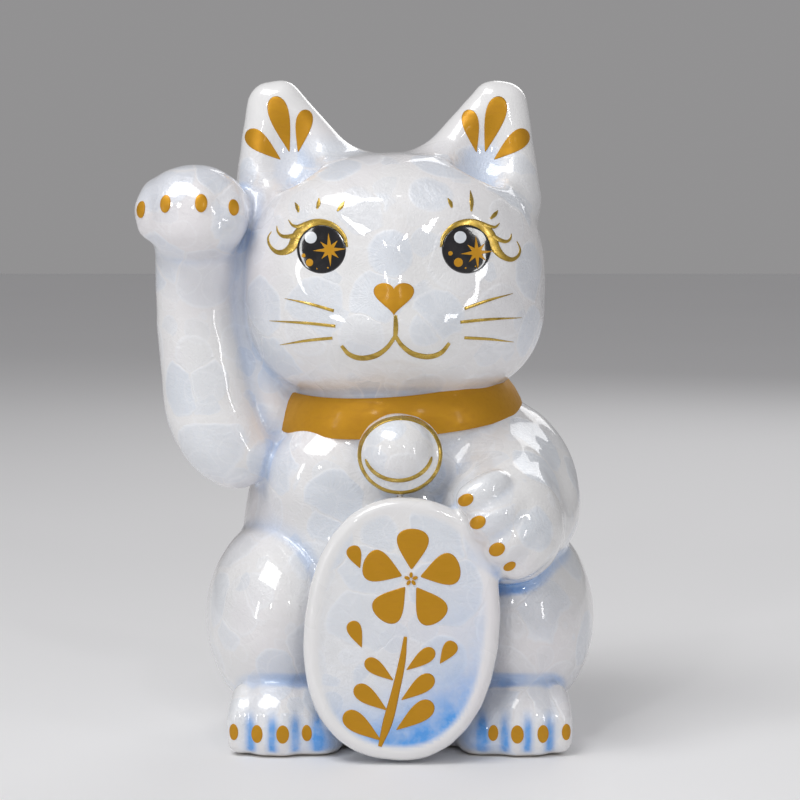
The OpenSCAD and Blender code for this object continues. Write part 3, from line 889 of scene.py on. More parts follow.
# %% The crystal group
def crystal_group():
    n, start, end = shader_group(
        "glaze_crystals",
        (("Position", "Vector", None), ("Across", "Float", 0.012), ("Shift", "Float", 0.0)),
        (("Flake", "Float"), ("Tint", "Float"), ("Rim", "Float"), ("Rays", "Float")))
    scale = n.math("DIVIDE", 1.0, start.outputs["Across"])
    moved = n.vector("ADD", start.outputs["Position"], start.outputs["Shift"])
    wobble = n.node("ShaderNodeTexNoise", Vector=moved, Scale=n.math("MULTIPLY", scale, 2.4), Detail=2.0)
    offset = n.vector("SUBTRACT", wobble.outputs["Color"], (0.5, 0.5, 0.5))
    bent = n.node("ShaderNodeVectorMath", {"operation": "MULTIPLY_ADD"})
    n.put(offset, bent.inputs[0])
    n.put(n.math("MULTIPLY", start.outputs["Across"], 0.16), bent.inputs[1])
    n.put(moved, bent.inputs[2])
    cells, second = [n.node("ShaderNodeTexVoronoi", {"feature": feature}, Vector=bent.outputs[0],
                            Scale=scale, Randomness=1.0) for feature in ("F1", "F2")]
    away = cells.outputs["Distance"]
    chance = n.node("ShaderNodeSeparateColor", Color=cells.outputs["Color"])
    radius = n.ramp(chance.outputs[1], 0.0, 1.0, 0.40, 0.72)
    inside = n.math("SUBTRACT", radius, away)
    meeting = n.math("SUBTRACT", second.outputs["Distance"], away)
    reach = n.math("MINIMUM", inside, meeting)
    n.put(n.ramp(reach, 0.0, 0.05), end.inputs["Flake"])
    n.put(chance.outputs[0], end.inputs["Tint"])
    n.put(n.math("MULTIPLY", n.ramp(reach, -0.01, 0.03), n.ramp(reach, 0.09, 0.04)), end.inputs["Rim"])
    outward = n.vector("NORMALIZE", n.vector("SUBTRACT", bent.outputs[0], cells.outputs["Position"]))
    fibres = n.noise(n.vector("ADD", outward, cells.outputs["Position"]), 7.0, 3.0, 0.6)
    n.put(n.ramp(fibres, 0.35, 0.65), end.inputs["Rays"])
    return n.tree


# %% The ripple and brush groups
def ripple_group():
    n, start, end = shader_group("molten_ripple", (("Position", "Vector", None), ("Across", "Float", 0.004)),
                                 (("Height", "Float"),))
    scale = n.math("DIVIDE", 1.0, start.outputs["Across"])
    n.put(n.noise(start.outputs["Position"], scale, 1.5, 0.4), end.inputs["Height"])
    return n.tree


def brush_group():
    n, start, end = shader_group("brush_streaks", (("Position", "Vector", None), ("Across", "Float", 0.0012)),
                                 (("Streak", "Float"), ("Speck", "Float")))
    drawn = n.vector("MULTIPLY", start.outputs["Position"], (0.35, 1.0, 1.0))
    scale = n.math("DIVIDE", 1.0, start.outputs["Across"])
    n.put(n.noise(drawn, scale, 3.0, 0.55), end.inputs["Streak"])
    dots = n.node("ShaderNodeTexVoronoi", {"feature": "F1"}, Vector=start.outputs["Position"],
                  Scale=n.math("MULTIPLY", scale, 1.6), Randomness=1.0)
    n.put(n.ramp(dots.outputs["Distance"], 0.16, 0.08), end.inputs["Speck"])
    return n.tree


crystals, ripple, brush = crystal_group(), ripple_group(), brush_group()
print("node groups:", [group.name for group in (crystals, ripple, brush)])


# %% Helpers for materials
def use(n, group, **inputs):
    """Places a group in a material with its own values."""
    node = n.tree.nodes.new("ShaderNodeGroup")
    node.node_tree = group
    for name, value in inputs.items():
        n.put(value, node.inputs[name])
    return node.outputs


def new_material(name, shown, **constants):
    """A material with its Principled shader, whose constant sockets are set directly."""
    material = bpy.data.materials.new(name)
    material.use_nodes = True
    material.diffuse_color = (*shown, 1)
    shader = material.node_tree.nodes["Principled BSDF"]
    for label, value in constants.items():
        shader.inputs[label.replace("_", " ")].default_value = value
    n = Nodes(material.node_tree)
    return material, n, shader, n.node("ShaderNodeTexCoord").outputs["Object"]


# %% [markdown]
# ### Crystal glaze
#
# Under the clear, mirror-smooth top of the glaze lie the crystals. So the clear part is the
# shader's coat, which stays smooth, and the crystals only disturb the layer below it: each one
# tilts its light a little and is whiter or bluer than the next. Two sizes of crystal overlap.
# The masks on the skin then bring in the pooled pale blue and the painter's strong blue.

# %% Crystal glaze
MILK, ICE, PEARL = (0.85, 0.845, 0.845, 1), (0.66, 0.75, 0.88, 1), (0.77, 0.72, 0.77, 1)
SKY, COBALT, INK = (0.42, 0.57, 0.84, 1), (0.10, 0.36, 0.84, 1), (0.03, 0.20, 0.66, 1)
BISQUE = (0.66, 0.60, 0.52, 1)
LARGE_CRYSTAL, SMALL_CRYSTAL = 0.0145, 0.0085


def mask(n, name):
    return n.node("ShaderNodeAttribute", {"attribute_name": name}).outputs["Fac"]


def crystal_glaze_material():
    material, n, shader, place = new_material("crystal_glaze", MILK[:3], Coat_Roughness=0.03,
                                              Coat_IOR=1.5, IOR=1.45)
    large = use(n, crystals, Position=place, Across=LARGE_CRYSTAL, Shift=0.031)
    small = use(n, crystals, Position=place, Across=SMALL_CRYSTAL, Shift=0.077)
    plain, pool, cobalt, bare = (mask(n, name) for name in ("plain", "pool", "cobalt", "bare"))
    grown = n.math("SUBTRACT", 1.0, plain)
    icy = n.math("MULTIPLY", large["Flake"], n.ramp(large["Tint"], 0.15, 0.95, 0.1, 0.85))
    faint = n.math("MULTIPLY", small["Flake"], n.ramp(small["Tint"], 0.45, 1.0, 0.0, 0.55))
    icy = n.math("MAXIMUM", icy, faint)
    icy = n.math("MULTIPLY", icy, n.ramp(large["Rays"], 0.0, 1.0, 0.82, 1.0))
    drift = n.noise(place, 22.0, 2.0)
    ground = n.mix(n.ramp(drift, 0.42, 0.68, 0.0, 0.35), MILK, PEARL)
    body = n.mix(n.math("MULTIPLY", icy, n.math("MULTIPLY", grown, 0.55)), ground, ICE)
    rims = n.math("MULTIPLY", n.math("MAXIMUM", large["Rim"], n.math("MULTIPLY", small["Rim"], 0.6)), grown)
    body = n.mix(n.math("MULTIPLY", rims, 0.38), body, (0.92, 0.93, 0.96, 1))
    pooled = n.math("MULTIPLY", pool, n.ramp(icy, 0.0, 0.8, 0.55, 0.95), clamp=True)
    body = n.mix(pooled, body, SKY)
    cloud = n.ramp(n.noise(place, 190.0, 3.0, 0.6), 0.3, 0.7, 0.72, 1.12)
    strong = n.math("MULTIPLY", cobalt, cloud, clamp=True)
    strong = n.math("MULTIPLY", strong, n.ramp(icy, 0.0, 0.9, 1.0, 0.86))
    body = n.mix(strong, body, COBALT)
    body = n.mix(n.ramp(strong, 0.92, 1.3, 0.0, 0.6), body, INK)
    body = n.mix(bare, body, BISQUE)
    n.put(body, shader.inputs["Base Color"])
    silk = n.math("ADD", n.ramp(large["Tint"], 0.0, 1.0, 0.24, 0.42), n.math("MULTIPLY", bare, 0.5))
    n.put(silk, shader.inputs["Roughness"])
    n.put(n.math("MULTIPLY", n.math("MULTIPLY", icy, grown), 0.16), shader.inputs["Metallic"])
    n.put(n.math("SUBTRACT", 1.0, bare), shader.inputs["Coat Weight"])
    relief = n.math("ADD", n.math("MULTIPLY", large["Rays"], 0.5), n.math("MULTIPLY", large["Flake"], 0.7))
    relief = n.math("ADD", relief, n.math("MULTIPLY", small["Rays"], 0.35))
    relief = n.math("MULTIPLY", relief, grown)
    grit = n.math("MULTIPLY", n.noise(place, 1400.0, 2.0), n.math("MULTIPLY", bare, 0.6))
    relief = n.math("ADD", relief, grit)
    n.emboss(shader, relief, 0.32, 0.00035)
    return material


crystal_glaze = crystal_glaze_material()
print("crystal glaze:", len(crystal_glaze.node_tree.nodes), "nodes")

# %% [markdown]
# ### Enamels
#
# The broad marks and the collar are a matt gold, close to ochre, brushed on thickly. The fine
# lines are the same gold laid thin over the shiny glaze, so they mirror more and look greener.
# Black and white are glassy. All of them ripple a little, as anything that melted does.

# %% Gold enamel
OCHRE_DEEP, OCHRE, OCHRE_LIT = (0.55, 0.260, 0.006, 1), (0.58, 0.280, 0.008, 1), (0.61, 0.310, 0.014, 1)
LUSTRE_DEEP, LUSTRE, LUSTRE_LIT = (0.36, 0.23, 0.03, 1), (0.55, 0.37, 0.07, 1), (0.78, 0.60, 0.22, 1)


def gold_material(name, deep, mid, lit, metallic, rough, coat):
    material, n, shader, place = new_material(name, mid[:3], Coat_Weight=coat, Coat_Roughness=0.12)
    marks = use(n, brush, Position=place, Across=0.0016)
    wave = use(n, ripple, Position=place, Across=0.0045)
    body = n.mix(n.ramp(marks["Streak"], 0.30, 0.52), deep, mid)
    body = n.mix(n.ramp(marks["Streak"], 0.52, 0.80, 0.0, 0.7), body, lit)
    n.put(n.mix(n.math("MULTIPLY", marks["Speck"], 0.25), body, lit), shader.inputs["Base Color"])
    n.put(n.ramp(marks["Streak"], 0.3, 0.75, rough + 0.08, rough - 0.06), shader.inputs["Roughness"])
    n.put(n.ramp(marks["Streak"], 0.3, 0.7, metallic - 0.08, metallic + 0.06), shader.inputs["Metallic"])
    height = n.math("ADD", wave["Height"], n.math("MULTIPLY", marks["Streak"], 0.08))
    n.emboss(shader, height, 0.35, 0.00035)
    return material


gold_enamel = gold_material("gold_enamel", OCHRE_DEEP, OCHRE, OCHRE_LIT, 0.50, 0.46, 0.1)
gold_lustre = gold_material("gold_lustre", LUSTRE_DEEP, LUSTRE, LUSTRE_LIT, 0.80, 0.28, 0.2)
print("golds:", gold_enamel.name, gold_lustre.name)


# %% Black and white enamel
def glassy_material(name, colour, other, rough):
    material, n, shader, place = new_material(name, colour[:3], Coat_Weight=0.8, Coat_Roughness=0.02)
    wave = use(n, ripple, Position=place, Across=0.003)
    n.put(n.mix(n.ramp(wave["Height"], 0.4, 0.75), colour, other), shader.inputs["Base Color"])
    n.put(n.ramp(wave["Height"], 0.3, 0.7, rough, rough + 0.08), shader.inputs["Roughness"])
    n.emboss(shader, wave["Height"], 0.2, 0.0002)
    return material


black_enamel = glassy_material("black_enamel", (0.006, 0.006, 0.008, 1), (0.016, 0.014, 0.016, 1), 0.08)
white_enamel = glassy_material("white_enamel", (0.74, 0.78, 0.82, 1), (0.84, 0.86, 0.88, 1), 0.12)

# %% [markdown]
# ### Bisque and rubber
#
# The disc underneath is bare fired clay: matt, warm, freckled with iron, and scuffed smooth
# where it has been handled. The plug is soft moulded rubber, slightly translucent, with a fine
# moulded grain and a faint cloudiness.


# %% Bisque and rubber
def bisque_material():
    material, n, shader, place = new_material("bisque", BISQUE[:3], Specular_IOR_Level=0.25)
    grain, freckle = n.noise(place, 1500.0, 4.0, 0.7), n.noise(place, 420.0, 2.0)
    marks = use(n, brush, Position=place, Across=0.004)
    body = n.mix(n.ramp(grain, 0.3, 0.7), (0.60, 0.53, 0.44, 1), (0.72, 0.67, 0.60, 1))
    body = n.mix(n.ramp(freckle, 0.66, 0.74, 0.0, 0.6), body, (0.28, 0.17, 0.10, 1))
    body = n.mix(n.ramp(marks["Streak"], 0.55, 0.8, 0.0, 0.3), body, (0.50, 0.46, 0.42, 1))
    n.put(body, shader.inputs["Base Color"])
    n.put(n.ramp(grain, 0.3, 0.7, 0.95, 0.78), shader.inputs["Roughness"])
    n.emboss(shader, grain, 0.6, 0.0002)
    return material


def rubber_material():
    material, n, shader, place = new_material("stopper_rubber", (0.6, 0.6, 0.58), Subsurface_Weight=0.1)
    grain = n.noise(place, 2600.0, 2.0, 0.5)
    cloud = use(n, ripple, Position=place, Across=0.006)
    body = n.mix(n.ramp(cloud["Height"], 0.35, 0.7), (0.66, 0.66, 0.63, 1), (0.56, 0.55, 0.51, 1))
    n.put(body, shader.inputs["Base Color"])
    n.put(n.ramp(cloud["Height"], 0.3, 0.7, 0.46, 0.60), shader.inputs["Roughness"])
    n.emboss(shader, grain, 0.3, 0.0001)
    return material


bisque, stopper_rubber = bisque_material(), rubber_material()
print("materials:", [material.name for material in bpy.data.materials])

# %% [markdown]
# ## Laying enamel on the glaze
#
# Gold and black are painted on the fired glaze and fired again, so each mark is a very thin
# raised layer that follows the surface under it. Bending each mark by hand would need the
# surface's shape at every point. Here a mark is first drawn flat, in front of the cat, and a
# Geometry Nodes tree then sends every point of it back until it meets the glaze. Each point
# carries two values of its own: aim, the way it is sent, and lift, its height on the glaze.
#
# The tree needs a whole skin to hit, so the glazed skin and the bare neck's are kept as helpers,
# and removed at the end.


# %% The helper skins
def helper(name, places, faces, directions):
    """A hidden surface for marks to land on, with its own smooth normals."""
    mesh = bpy.data.meshes.new(name)
    mesh.from_pydata((places * MM).tolist(), [], faces.tolist())
    add_vectors(mesh, "glaze_normal", directions)
    return link(bpy.data.objects.new(name, mesh))


glaze_skin = helper("glaze_skin", points, quads, normals)
neck_skin = helper("neck_skin", clay.low + neck_points * clay.step, neck_quads, neck_normals)


# %% The tree that lays a mark on the glaze
def new_tree(name, inputs):
    """A Geometry Nodes tree with a geometry input, the named inputs, and a geometry output."""
    tree = bpy.data.node_groups.new(name, "GeometryNodeTree")
    tree.interface.new_socket("Geometry", in_out="INPUT", socket_type="NodeSocketGeometry")
    for label, kind in inputs:
        tree.interface.new_socket(label, in_out="INPUT", socket_type=kind)
    tree.interface.new_socket("Geometry", in_out="OUTPUT", socket_type="NodeSocketGeometry")
    return tree, tree.nodes.new("NodeGroupInput"), tree.nodes.new("NodeGroupOutput")


def named_attribute(tree, name, kind):
    node = tree.nodes.new("GeometryNodeInputNamedAttribute")
    node.data_type = kind
    node.inputs["Name"].default_value = name
    return node.outputs["Attribute"]


def socket(node, name, kind):
    """The enabled socket of that name and type, for nodes that keep one for each type."""
    return next(s for s in node if s.name == name and s.type == kind and s.enabled)


def maths(tree, kind, operation):
    """A maths node set to one operation."""
    node = tree.nodes.new(kind)
    node.operation = operation
    return node


def lay_on_glaze_tree():
    tree, start, end = new_tree("lay_on_glaze", (("Skin", "NodeSocketObject"),
                                                 ("Material", "NodeSocketMaterial")))
    add, wire = tree.nodes.new, tree.links.new
    skin = add("GeometryNodeObjectInfo")
    wire(start.outputs["Skin"], skin.inputs["Object"])
    ray = add("GeometryNodeRaycast")
    ray.data_type = "FLOAT_VECTOR"
    ray.mapping = "INTERPOLATED"
    wire(skin.outputs["Geometry"], ray.inputs["Target Geometry"])
    wire(named_attribute(tree, "glaze_normal", "FLOAT_VECTOR"), socket(ray.inputs, "Attribute", "VECTOR"))
    wire(named_attribute(tree, "aim", "FLOAT_VECTOR"), ray.inputs["Ray Direction"])
    ray.inputs["Ray Length"].default_value = 0.2
    upright = maths(tree, "ShaderNodeVectorMath", "NORMALIZE")
    wire(socket(ray.outputs, "Attribute", "VECTOR"), upright.inputs[0])
    raised = maths(tree, "ShaderNodeVectorMath", "SCALE")
    wire(upright.outputs[0], raised.inputs[0])
    wire(named_attribute(tree, "lift", "FLOAT"), raised.inputs["Scale"])
    landed = maths(tree, "ShaderNodeVectorMath", "ADD")
    wire(ray.outputs["Hit Position"], landed.inputs[0])
    wire(raised.outputs[0], landed.inputs[1])
    place = add("GeometryNodeSetPosition")
    wire(start.outputs["Geometry"], place.inputs["Geometry"])
    wire(ray.outputs["Is Hit"], place.inputs["Selection"])
    wire(landed.outputs[0], place.inputs["Position"])
    keep = add("GeometryNodeStoreNamedAttribute")
    keep.data_type = "FLOAT_VECTOR"
    keep.inputs["Name"].default_value = "glaze_normal"
    wire(place.outputs[0], keep.inputs["Geometry"])
    wire(upright.outputs[0], socket(keep.inputs, "Value", "VECTOR"))
    real = add("GeometryNodeRealizeInstances")
    wire(keep.outputs[0], real.inputs[0])
    paint = add("GeometryNodeSetMaterial")
    wire(real.outputs[0], paint.inputs["Geometry"])
    wire(start.outputs["Material"], paint.inputs["Material"])
    wire(paint.outputs[0], end.inputs[0])
    return tree


# %% [markdown]
# ### Marks that repeat
#
# The blossom's five petals and the sprig's leaves are one brush stroke made over and over. The
# second tree copies a stroke: each copy turns a little further, climbs a little higher and may
# shrink, so the same tree makes a wheel of petals and a ladder of leaves.


# %% The tree that repeats a stroke
def repeat_stroke_tree():
    tree, start, end = new_tree("repeat_stroke", (
        ("Count", "NodeSocketInt"), ("Turn", "NodeSocketFloat"), ("Climb", "NodeSocketVector"),
        ("Shrink", "NodeSocketFloat"), ("Pivot", "NodeSocketVector")))
    add, wire = tree.nodes.new, tree.links.new
    line = add("GeometryNodeMeshLine")
    wire(start.outputs["Count"], line.inputs["Count"])
    wire(start.outputs["Climb"], line.inputs["Offset"])
    wire(start.outputs["Pivot"], line.inputs["Start Location"])
    index = add("GeometryNodeInputIndex")
    turn = maths(tree, "ShaderNodeMath", "MULTIPLY")
    wire(index.outputs[0], turn.inputs[0])
    wire(start.outputs["Turn"], turn.inputs[1])
    about = add("ShaderNodeCombineXYZ")
    wire(turn.outputs[0], about.inputs["Y"])
    shrink = maths(tree, "ShaderNodeMath", "MULTIPLY_ADD")
    wire(index.outputs[0], shrink.inputs[0])
    wire(start.outputs["Shrink"], shrink.inputs[1])
    shrink.inputs[2].default_value = 1.0
    copies = add("GeometryNodeInstanceOnPoints")
    wire(line.outputs[0], copies.inputs["Points"])
    wire(start.outputs["Geometry"], copies.inputs["Instance"])
    wire(about.outputs[0], copies.inputs["Rotation"])
    wire(shrink.outputs[0], copies.inputs["Scale"])
    real = add("GeometryNodeRealizeInstances")
    wire(copies.outputs[0], real.inputs[0])
    wire(real.outputs[0], end.inputs[0])
    return tree


lay_on_glaze = lay_on_glaze_tree()
repeat_stroke = repeat_stroke_tree()


def set_input(modifier, label, value):
    """Sets a modifier's input through the identifier of the socket with that label."""
    for item in modifier.node_group.interface.items_tree:
        if item.item_type == "SOCKET" and item.in_out == "INPUT" and item.name == label:
            modifier[item.identifier] = value


# %% [markdown]
# ### Brush marks
#
# Two shapes cover every mark on the cat. A blob is the inside of an outline: an eye, a spot, a
# petal, the heart. A stroke is a line that swells and thins as the brush is pressed. Both are
# closed lens shapes, thickest in the middle, as wet enamel is when it draws itself together.
# A mark's points are [x, z] in millimetres on a sheet held in front of the cat. The sheet can be
# turned about an upright axis through its seat, for a mark on a side that faces away.

# %% Blobs and strokes
THROW = 60.0


class Marks:
    """Blobs and strokes that share one colour, collected into one piece."""

    def __init__(self, thick=0.28, base=0.0):
        self.places, self.faces, self.lifts, self.aims = [], [], [], []
        self.thick, self.base = thick, base
        self.face_to()

    def face_to(self, turn=0.0, seat=(0, -20)):
        """Turns the sheet by some degrees about the upright line through seat [x, y]."""
        a = math.radians(turn)
        self.aim = np.array([math.sin(a), math.cos(a), 0])
        self.right = np.array([math.cos(a), -math.sin(a), 0])
        self.seat = np.array([seat[0], seat[1], 0])

    def grow(self, flat, lifts, faces):
        start = sum(len(p) for p in self.places)
        flat = np.array(flat, float)
        self.places.append(self.seat + np.outer(flat[:, 0] - self.seat[0], self.right)
                           + np.outer(flat[:, 1], (0, 0, 1)) - THROW * self.aim)
        self.lifts.append(np.array(lifts) * self.thick + self.base)
        self.aims.append(np.tile(self.aim, (len(flat), 1)))
        self.faces += [[start + k for k in face] for face in faces]

    def blob(self, outline):
        """The inside of an outline that its own middle can see all of."""
        outline = np.array(outline, float)
        turn = np.roll(outline, -1, axis=0)
        if (outline[:, 0] * turn[:, 1] - outline[:, 1] * turn[:, 0]).sum() < 0:
            outline = outline[::-1]
        centre, n = outline.mean(axis=0), len(outline)
        inset = [(1.0, 0.0), (0.955, 0.62), (0.87, 0.9), (0.66, 1.0), (0.34, 1.0)]
        places, lifts, faces = [], [], []
        for share, lift in inset:
            places += list(centre + (outline - centre) * share)
            lifts += [lift] * n
        top = len(places)
        places.append(centre)
        lifts.append(1.0)
        for share, lift in inset[1:]:
            places += list(centre + (outline - centre) * share)
            lifts += [-lift] * n
        bottom = len(places)
        places.append(centre)
        lifts.append(-1.0)
        rows = [[r * n + k for k in range(n)] for r in range(len(inset))]
        under = [rows[0]] + [[top + 1 + r * n + k for k in range(n)] for r in range(len(inset) - 1)]
        for k in range(n):
            j = (k + 1) % n
            for a, b in zip(rows[:-1], rows[1:]):
                faces.append([a[k], a[j], b[j], b[k]])
            for a, b in zip(under[:-1], under[1:]):
                faces.append([a[j], a[k], b[k], b[j]])
            faces.append([rows[-1][k], rows[-1][j], top])
            faces.append([under[-1][j], under[-1][k], bottom])
        self.grow(places, lifts, faces)

    def stroke(self, path, widths):
        """A line through the points of path, with a width at each."""
        path, widths = smooth_line(path, widths)
        along = np.gradient(path, axis=0)
        along /= np.linalg.norm(along, axis=1, keepdims=True)
        side = np.column_stack([-along[:, 1], along[:, 0]])
        section = [(-1, 0), (-0.72, 0.75), (0, 1), (0.72, 0.75), (1, 0), (0.72, -0.75), (0, -1),
                   (-0.72, -0.75)]
        places, lifts, faces = [], [], []
        for p, s, w in zip(path, side, widths):
            places += [p + s * share * w / 2 for share, _ in section]
            lifts += [lift * min(1.0, 0.35 + w) for _, lift in section]
        m, n = len(section), len(path)
        for r in range(n - 1):
            for k in range(m):
                j = (k + 1) % m
                faces.append([r * m + k, r * m + j, (r + 1) * m + j, (r + 1) * m + k])
        faces.append(list(range(m - 1, -1, -1)))
        faces.append([(n - 1) * m + k for k in range(m)])
        self.grow(places, lifts, faces)

    def mesh(self, name):
        mesh = bpy.data.meshes.new(name)
        mesh.from_pydata((np.vstack(self.places) * MM).tolist(), [], self.faces)
        add_mask(mesh, "lift", np.concatenate(self.lifts) * MM)
        add_vectors(mesh, "aim", np.vstack(self.aims))
        return mesh


# %% Outlines
def smooth_line(path, widths, gap=0.45):
    """Points every gap millimetres through a few chosen ones."""
    knots = np.column_stack([np.array(path, float), np.array(widths, float)])
    spans = np.linalg.norm(np.diff(knots[:, :2], axis=0), axis=1)
    line = curve_through(knots, [max(2, int(span / gap)) for span in spans])
    return line[:, :2], np.maximum(line[:, 2], 0.12)


def oval(centre, wide, tall, lean=0.0, n=28):
    """An oval outline, leaning clockwise by some degrees."""
    turn = math.radians(lean)
    loop = []
    for k in range(n):
        a = 2 * math.pi * k / n
        u, v = wide / 2 * math.cos(a), tall / 2 * math.sin(a)
        loop.append([centre[0] + u * math.cos(turn) + v * math.sin(turn),
                     centre[1] - u * math.sin(turn) + v * math.cos(turn)])
    return loop


def teardrop(round_end, point, wide, n=36):
    """An outline with a round end and a pointed end."""
    head, tail = np.array(round_end, float), np.array(point, float)
    along = head - tail
    length = np.linalg.norm(along)
    along /= length
    side = np.array([-along[1], along[0]])
    loop = []
    for k in range(n):
        a = 2 * math.pi * (k + 0.5) / n
        reach = (1 + math.cos(a)) / 2
        loop.append(tail + along * length * reach
                    + side * math.sin(a) * wide / 2 * (0.16 + 0.84 * reach) * 1.12)
    return loop


def star(centre, reach, turn=0.0):
    """Four long points with four short ones between them."""
    loop = []
    for k in range(16):
        r = reach * (1.0 if k % 4 == 0 else 0.74 if k % 2 == 0 else 0.30)
        a = math.radians(22.5 * k + turn)
        loop.append([centre[0] + r * math.cos(a), centre[1] + r * math.sin(a)])
    return loop


# %% Name, lay and paint a mark
def finish(piece, name, nodes, body="cat"):
    """Names a piece and says what it rides on and stands for."""
    piece.name = name
    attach(piece, body)
    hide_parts(*nodes)
    print(f"{name}: {len(piece.data.polygons)} faces")


def face_outward(mesh):
    """Turns every face of a closed mesh outwards, and shades it smooth."""
    shape = bmesh.new()
    shape.from_mesh(mesh)
    bmesh.ops.recalc_face_normals(shape, faces=shape.faces)
    shape.to_mesh(mesh)
    shape.free()
    mesh.shade_smooth()


def soften_top(mesh):
    """The glaze's own normals smooth the top of a mark."""
    count = len(mesh.vertices)
    under, own, lift = np.zeros(count * 3), np.zeros(count * 3), np.zeros(count)
    mesh.attributes["glaze_normal"].data.foreach_get("vector", under)
    mesh.vertices.foreach_get("normal", own)
    mesh.attributes["lift"].data.foreach_get("value", lift)
    under, own = under.reshape(-1, 3), own.reshape(-1, 3)
    share = np.where(((under * own).sum(axis=1) > 0.3), 0.7, 0.0)[:, None]
    mixed = under * share + own * (1 - share)
    mixed /= np.maximum(np.linalg.norm(mixed, axis=1, keepdims=True), 1e-6)
    mesh.normals_split_custom_set_from_vertices(mixed.tolist())


def bake_out(rough, skin, material, repeats=()):
    """Runs the trees on a flat mark and gives back a plain mesh object on the glaze."""
    flat = link(bpy.data.objects.new("flat", rough))
    for values in repeats:
        again = flat.modifiers.new("repeat", "NODES")
        again.node_group = repeat_stroke
        for label, value in values.items():
            set_input(again, label, value)
    lay = flat.modifiers.new("lay", "NODES")
    lay.node_group = lay_on_glaze
    set_input(lay, "Skin", skin)
    set_input(lay, "Material", material)
    ready = flat.evaluated_get(bpy.context.evaluated_depsgraph_get())
    mesh = bpy.data.meshes.new_from_object(ready)
    bpy.data.objects.remove(flat)
    face_outward(mesh)
    soften_top(mesh)
    return link(bpy.data.objects.new("laid", mesh))


def paint(name, marks, material, slot):
    """Lays marks on the glaze as the piece that stands for the CAD node of that name."""
    finish(bake_out(marks.mesh(name), glaze_skin, material), name + "_enamel", [name])


# %% [markdown]
# ### Eyes
#
# Each eye is a black disc, slightly wider than it is tall. Over it, fired last, lie a round
# white light and a gold eight-pointed star with two dots and two specks. These lie a little
# higher, on top of the black.

# %% Eyes
EYE_WIDE, EYE_TALL = 13.2, 12.8
OVER_BLACK = 0.3
# Each spot is its place across and up from the eye's middle, and its radius.
SPOTS = {-1: ((-3.0, -3.6, 1.0), (-4.6, -1.8, 0.55), (1.9, -4.9, 0.22), (-1.0, -5.2, 0.18)),
         1: ((-2.3, -3.5, 1.2), (-4.4, -1.1, 0.6), (-0.4, -5.0, 0.24), (2.2, -4.6, 0.18))}
LIGHT = {-1: (-2.7, 3.0), 1: (-1.8, 3.1)}
STAR = {-1: (2.3, -0.2), 1: (2.6, -1.0)}

for side, name in SIDES:
    ex, ez = eyes[side][0], eyes[side][2]
    black = Marks(thick=0.3)
    black.blob(oval((ex, ez), EYE_WIDE, EYE_TALL, n=56))
    paint(f"{name}_eye_black", black, black_enamel, "black_enamel")
    light = Marks(thick=0.16, base=OVER_BLACK)
    light.blob(oval((ex + LIGHT[side][0], ez + LIGHT[side][1]), 3.3, 3.2))
    paint(f"{name}_eye_light", light, white_enamel, "white_enamel")
    gold_star = Marks(thick=0.16, base=OVER_BLACK)
    gold_star.blob(star((ex + STAR[side][0], ez + STAR[side][1]), 4.5, turn=4))
    for dx, dz, r in SPOTS[side]:
        gold_star.blob(oval((ex + dx, ez + dz), 2 * r, 2 * r, n=16))
    paint(f"{name}_eye_star", gold_star, gold_enamel, "gold_enamel")

# %% [markdown]
# ### Lashes, whiskers and mouth
#
# These are strokes of a thin brush, so each is a short list of points with the brush's width at
# each. The lid line starts as a hair at the inner corner, is widest over the outer half of the
# eye, and runs out into a curl. The painter's right side droops a little more than the left.

# %% Lashes
LID = [(-6.9, 0.6, 0.5), (-6.1, 3.5, 1.0), (-3.3, 6.2, 1.4), (0.4, 7.1, 1.8), (3.8, 6.1, 2.4),
       (6.1, 3.7, 3.1), (7.9, 0.5, 2.5), (9.9, -0.9, 1.7), (12.2, -0.9, 1.2), (14.0, 0.7, 0.8),
       (14.5, 2.7, 0.5), (13.6, 4.4, 0.2)]
CURLS = [[(6.8, 3.6, 1.4), (8.6, 3.2, 1.2), (10.6, 3.3, 0.9), (11.8, 4.4, 0.6), (12.1, 5.9, 0.2)],
         [(4.2, 6.6, 1.2), (6.2, 5.9, 1.0), (7.8, 6.2, 0.7), (8.9, 7.6, 0.2)]]
DROOP, DROOP_FROM = {-1: 0.0, 1: 0.36}, 6.5


def eye_stroke(marks, side, knots):
    """A stroke given from the eye's middle: outward, up, width."""
    ex, ez = eyes[side][0], eyes[side][2]
    path = [(ex + side * across, ez + rise - DROOP[side] * max(0, across - DROOP_FROM))
            for across, rise, _ in knots]
    marks.stroke(path, [width for _, _, width in knots])


for side, name in SIDES:
    lashes = Marks(thick=0.22)
    for knots in [LID] + CURLS:
        eye_stroke(lashes, side, knots)
    paint(f"{name}_lashes", lashes, gold_lustre, "gold_enamel")

# %% Brow ticks and whiskers
# Each line is its outer end and its inner end, from the eye's middle or from the nose.
TICKS = {-1: (((-7.2, 12.2), (-6.2, 9.6)), ((-0.7, 13.4), (-1.2, 10.6)), ((6.1, 12.6), (4.2, 10.0))),
         1: (((-5.0, 13.4), (-3.9, 10.9)), ((1.1, 15.4), (1.3, 9.9)), ((8.5, 10.1), (6.4, 7.9)))}
WHISKERS = {-1: (((-29.0, 0.0), (-15.8, -2.9)), ((-33.3, -6.2), (-15.4, -6.9)),
                 ((-30.5, -12.6), (-16.2, -10.1))),
            1: (((31.6, 1.2), (18.6, -2.4)), ((34.2, -5.4), (17.5, -5.9)),
                ((32.0, -11.9), (18.6, -10.1)))}

